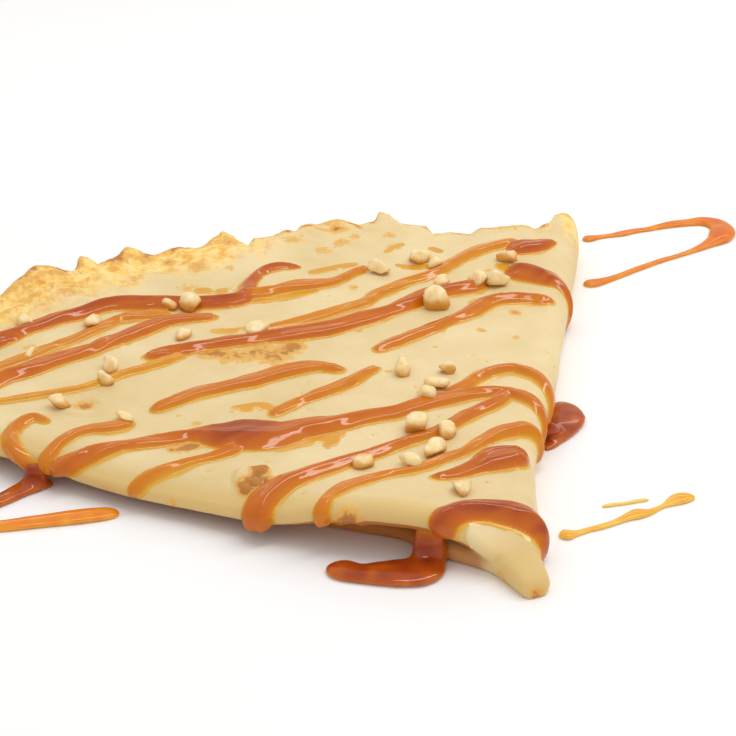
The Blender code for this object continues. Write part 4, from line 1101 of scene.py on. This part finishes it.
def nuts():
    """Every chopped piece of nut, as one object."""
    draw = np.random.default_rng(NUT_SEED)
    spots = np.array(NUTS)
    centres, ups, _ = surface(spots[:, 0], spots[:, 1])
    lofts = []
    heights = []
    for size, centre, up in zip(spots[:, 2] * NUT_SCALE, centres, ups):
        spin = draw.uniform(0.0, math.pi)
        stain_and_shade_shift = draw.uniform(-MOST_STAIN_AND_SHADE_SHIFT, MOST_STAIN_AND_SHADE_SHIFT)
        shape, faces = nut_shape(size, draw)
        turned = shape @ np.array(((math.cos(spin), math.sin(spin), 0.0),
                                   (-math.sin(spin), math.cos(spin), 0.0), (0.0, 0.0, 1.0)))
        placed = turned + centre + up * (size * NUT_SEAT)
        placed[:, 2] = np.minimum(placed[:, 2], NUT_TOP)
        lofts.append((placed, faces))
        heights.append(turned[:, 2] / size + stain_and_shade_shift)
    thing = mesh_object("chopped_nuts", *together(lofts))
    # Each point's height up its piece, for the darker lower side of honey stain and painted shade
    paint(thing, "height", np.concatenate(heights))
    return thing


def new_material(name):
    material = bpy.data.materials.new(name)
    material.use_nodes = True
    tree = material.node_tree
    return material, tree, tree.nodes["Principled BSDF"]


def new_node(tree, kind, inputs):
    """A shader node whose inputs are set to numbers and colours, or linked to other nodes' outputs."""
    node = tree.nodes.new("ShaderNode" + kind)
    for name, value in inputs.items():
        if isinstance(value, bpy.types.NodeSocket):
            tree.links.new(value, node.inputs[name])
        else:
            node.inputs[name].default_value = value
    return node


def painted(tree, name):
    node = new_node(tree, "Attribute", {})
    node.attribute_name = name
    return node.outputs["Fac"]


def grain(tree, size, detail=4.0, roughness=0.55):
    """Noise over the object's own coordinates with features of about size millimetres."""
    coordinates = new_node(tree, "TexCoord", {}).outputs["Object"]
    inputs = {"Vector": coordinates, "Scale": 1.0 / (size * MM), "Detail": detail, "Roughness": roughness}
    return new_node(tree, "TexNoise", inputs).outputs["Fac"]


def sum_of(tree, first, second, scale=1.0):
    """second times scale, added to first."""
    node = new_node(tree, "Math", {0: second, 1: scale, 2: first})
    node.operation = "MULTIPLY_ADD"
    return node.outputs[0]


def ramp(tree, value, stops):
    node = new_node(tree, "ValToRGB", {"Fac": value})
    while len(node.color_ramp.elements) < len(stops):
        node.color_ramp.elements.new(0.5)
    for element, (position, colour) in zip(node.color_ramp.elements, stops):
        element.position = position
        element.color = (*colour, 1.0)
    return node.outputs["Color"]


def step(tree, value, limits, kind="SMOOTHSTEP"):
    """0 at the first limit, 1 at the second and smooth between."""
    node = new_node(tree, "MapRange", {"Value": value, "From Min": limits[0], "From Max": limits[1]})
    node.interpolation_type = kind
    return node.outputs["Result"]


def mixed(tree, share, first, second):
    """first where share is 0 and second, a colour or another node's output, where it is 1."""
    last = (*second, 1.0) if isinstance(second, tuple) else second
    node = new_node(tree, "Mix", {"Factor": share, 6: first, 7: last})
    node.data_type = "RGBA"
    return node.outputs[2]


def bumped(tree, shader, height, strength, distance):
    node = new_node(tree, "Bump", {"Strength": strength, "Distance": distance * MM, "Height": height})
    tree.links.new(node.outputs["Normal"], shader.inputs["Normal"])


def set_look(shader, roughness, gloss, scatter=0.0, spread=FOOD_SPREAD, reach=1.2):
    """How rough and glossy a material is, and how much and how far light spreads under its surface."""
    values = {"Roughness": roughness, "Specular IOR Level": gloss, "Subsurface Weight": scatter,
              "Subsurface Radius": spread, "Subsurface Scale": reach * MM}
    for name, value in values.items():
        shader.inputs[name].default_value = value


def baked_batter():
    """Pale baked batter with browned spots and a thin golden rim."""
    material, tree, shader = new_material("baked_batter")
    cream = ramp(tree, grain(tree, 14.0), CREAM)
    thin = step(tree, sum_of(tree, painted(tree, "thin"), grain(tree, 4.0), 0.8), THIN_AT)
    golden = ramp(tree, grain(tree, 2.8, 6.0, 0.65), GOLDEN)
    # Painted shade on the near fold, the lower layers and the nose
    painted_fold_shade = mixed(tree, painted(tree, "painted_fold_shade"), cream, FOLD_SHADE_COLOUR)
    pale = mixed(tree, thin, painted_fold_shade, golden)
    # Turned-under faces: browning with painted shade
    lower = mixed(tree, painted(tree, "under"), pale, UNDERSIDE_BROWN_AND_SHADE)
    lacy = sum_of(tree, painted(tree, "brown"), grain(tree, 1.2, 6.0, 0.65), 1.4)
    toasted = mixed(tree, step(tree, lacy, TOASTED_AT), lower, TOASTED)
    browned = mixed(tree, step(tree, lacy, BROWNED_AT), toasted, BROWNED)
    tree.links.new(browned, shader.inputs["Base Color"])
    set_look(shader, 0.5, 0.25, 0.35, FOOD_SPREAD, 1.5)
    bumped(tree, shader, sum_of(tree, grain(tree, 0.9, 5.0), grain(tree, 3.0, 4.0), 1.0), 0.35, 0.12)
    return material


def honey(name, stops):
    """Glossy honey that is amber where thin and reddish brown where deep."""
    material, tree, shader = new_material(name)
    share = step(tree, painted(tree, "depth"), (0.0, HONEY_DEPTH), "LINEAR")
    varied = sum_of(tree, share, grain(tree, 3.0), 0.04)
    tree.links.new(ramp(tree, varied, stops), shader.inputs["Base Color"])
    shader.inputs["IOR"].default_value = 1.45
    set_look(shader, 0.07, 0.45, 0.2, HONEY_SPREAD)
    bumped(tree, shader, grain(tree, 5.0, 2.0), 0.1, 0.1)
    return material


def nut_flesh():
    """Cream-coloured nut whose lower side is darker: honey stain and painted shade."""
    material, tree, shader = new_material("nut_flesh")
    # Darker towards the bottom: honey stain and painted shade
    low = step(tree, sum_of(tree, painted(tree, "height"), grain(tree, 1.5), 0.6), STAIN_AND_SHADE_AT)
    plain = ramp(tree, grain(tree, 1.6), NUT_CREAM)
    tree.links.new(mixed(tree, low, plain, NUT_STAIN_AND_SHADE), shader.inputs["Base Color"])
    set_look(shader, 0.38, 0.5, 0.3)
    bumped(tree, shader, grain(tree, 0.9, 5.0), 0.6, 0.2)
    return material


def table_top():
    """The plain white surface that the crepe lies on."""
    thing = mesh_object("floor", TABLE_CORNERS, [(0, 1, 2, 3)])
    material, tree, shader = new_material("white_surface")
    tree.links.new(ramp(tree, grain(tree, 60.0), WHITE), shader.inputs["Base Color"])
    set_look(shader, 0.6, 0.2)
    thing.data.materials.append(material)


def area_light(name, place_mm, size_mm, power, turns):
    light = bpy.data.lights.new(name, "AREA")
    light.shape = "RECTANGLE"
    light.size = size_mm[0] * MM
    light.size_y = size_mm[1] * MM
    light.energy = power
    thing = bpy.data.objects.new(name, light)
    bpy.context.scene.collection.objects.link(thing)
    thing.location = to_frame(place_mm)
    thing.rotation_euler = turns


def lights_and_camera():
    scene = bpy.context.scene
    scene.world = bpy.data.worlds.new("studio")
    scene.world.use_nodes = True
    tree = scene.world.node_tree
    ways = new_node(tree, "TexCoord", {})
    parts = new_node(tree, "SeparateXYZ", {"Vector": ways.outputs["Generated"]})
    tree.links.new(ramp(tree, parts.outputs["Z"], SKY), tree.nodes["Background"].inputs["Color"])
    tree.nodes["Background"].inputs["Strength"].default_value = SKY_STRENGTH
    scene.view_settings.view_transform = "Standard"
    for name, light in LIGHTS.items():
        area_light(name, *light)
    camera = bpy.data.cameras.new("camera")
    camera.sensor_width = SENSOR
    camera.lens = LENS
    camera.clip_start = 0.01
    thing = bpy.data.objects.new("camera", camera)
    scene.collection.objects.link(thing)
    thing.location = to_frame(CAMERA_PLACE)
    thing.rotation_euler = (math.pi / 2 - CAMERA_DOWN, 0.0, 0.0)
    scene.camera = thing


def dressed(thing, material, node):
    """Gives a piece its material, hangs it under the root body and hides the CAD part that it stands for.
    """
    thing.data.materials.clear()
    thing.data.materials.append(material)
    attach(thing, "root")
    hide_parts(node)


def main():
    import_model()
    batter = baked_batter()
    sheet = crepe_sheet()
    tip = crepe_tip()
    below = tree_over((sheet, tip))
    deep_honey = honey("honey_deep", DEEP)
    for thing in (sheet, tip):
        dressed(thing, batter, "crepe")
    for thing in (honey_on_top(below), honey_pools(below)):
        dressed(thing, deep_honey, "crepe")
    dressed(nuts(), nut_flesh(), "crepe")
    thin_honey = honey("honey_bright", BRIGHT)
    for i, (name, (strength, points)) in enumerate(LOOSE.items()):
        dressed(loose_honey(name, strength, points, LOOSE_SEED + 3 * i), thin_honey, name)
    table_top()
    lights_and_camera()
    bpy.context.view_layer.update()


main()
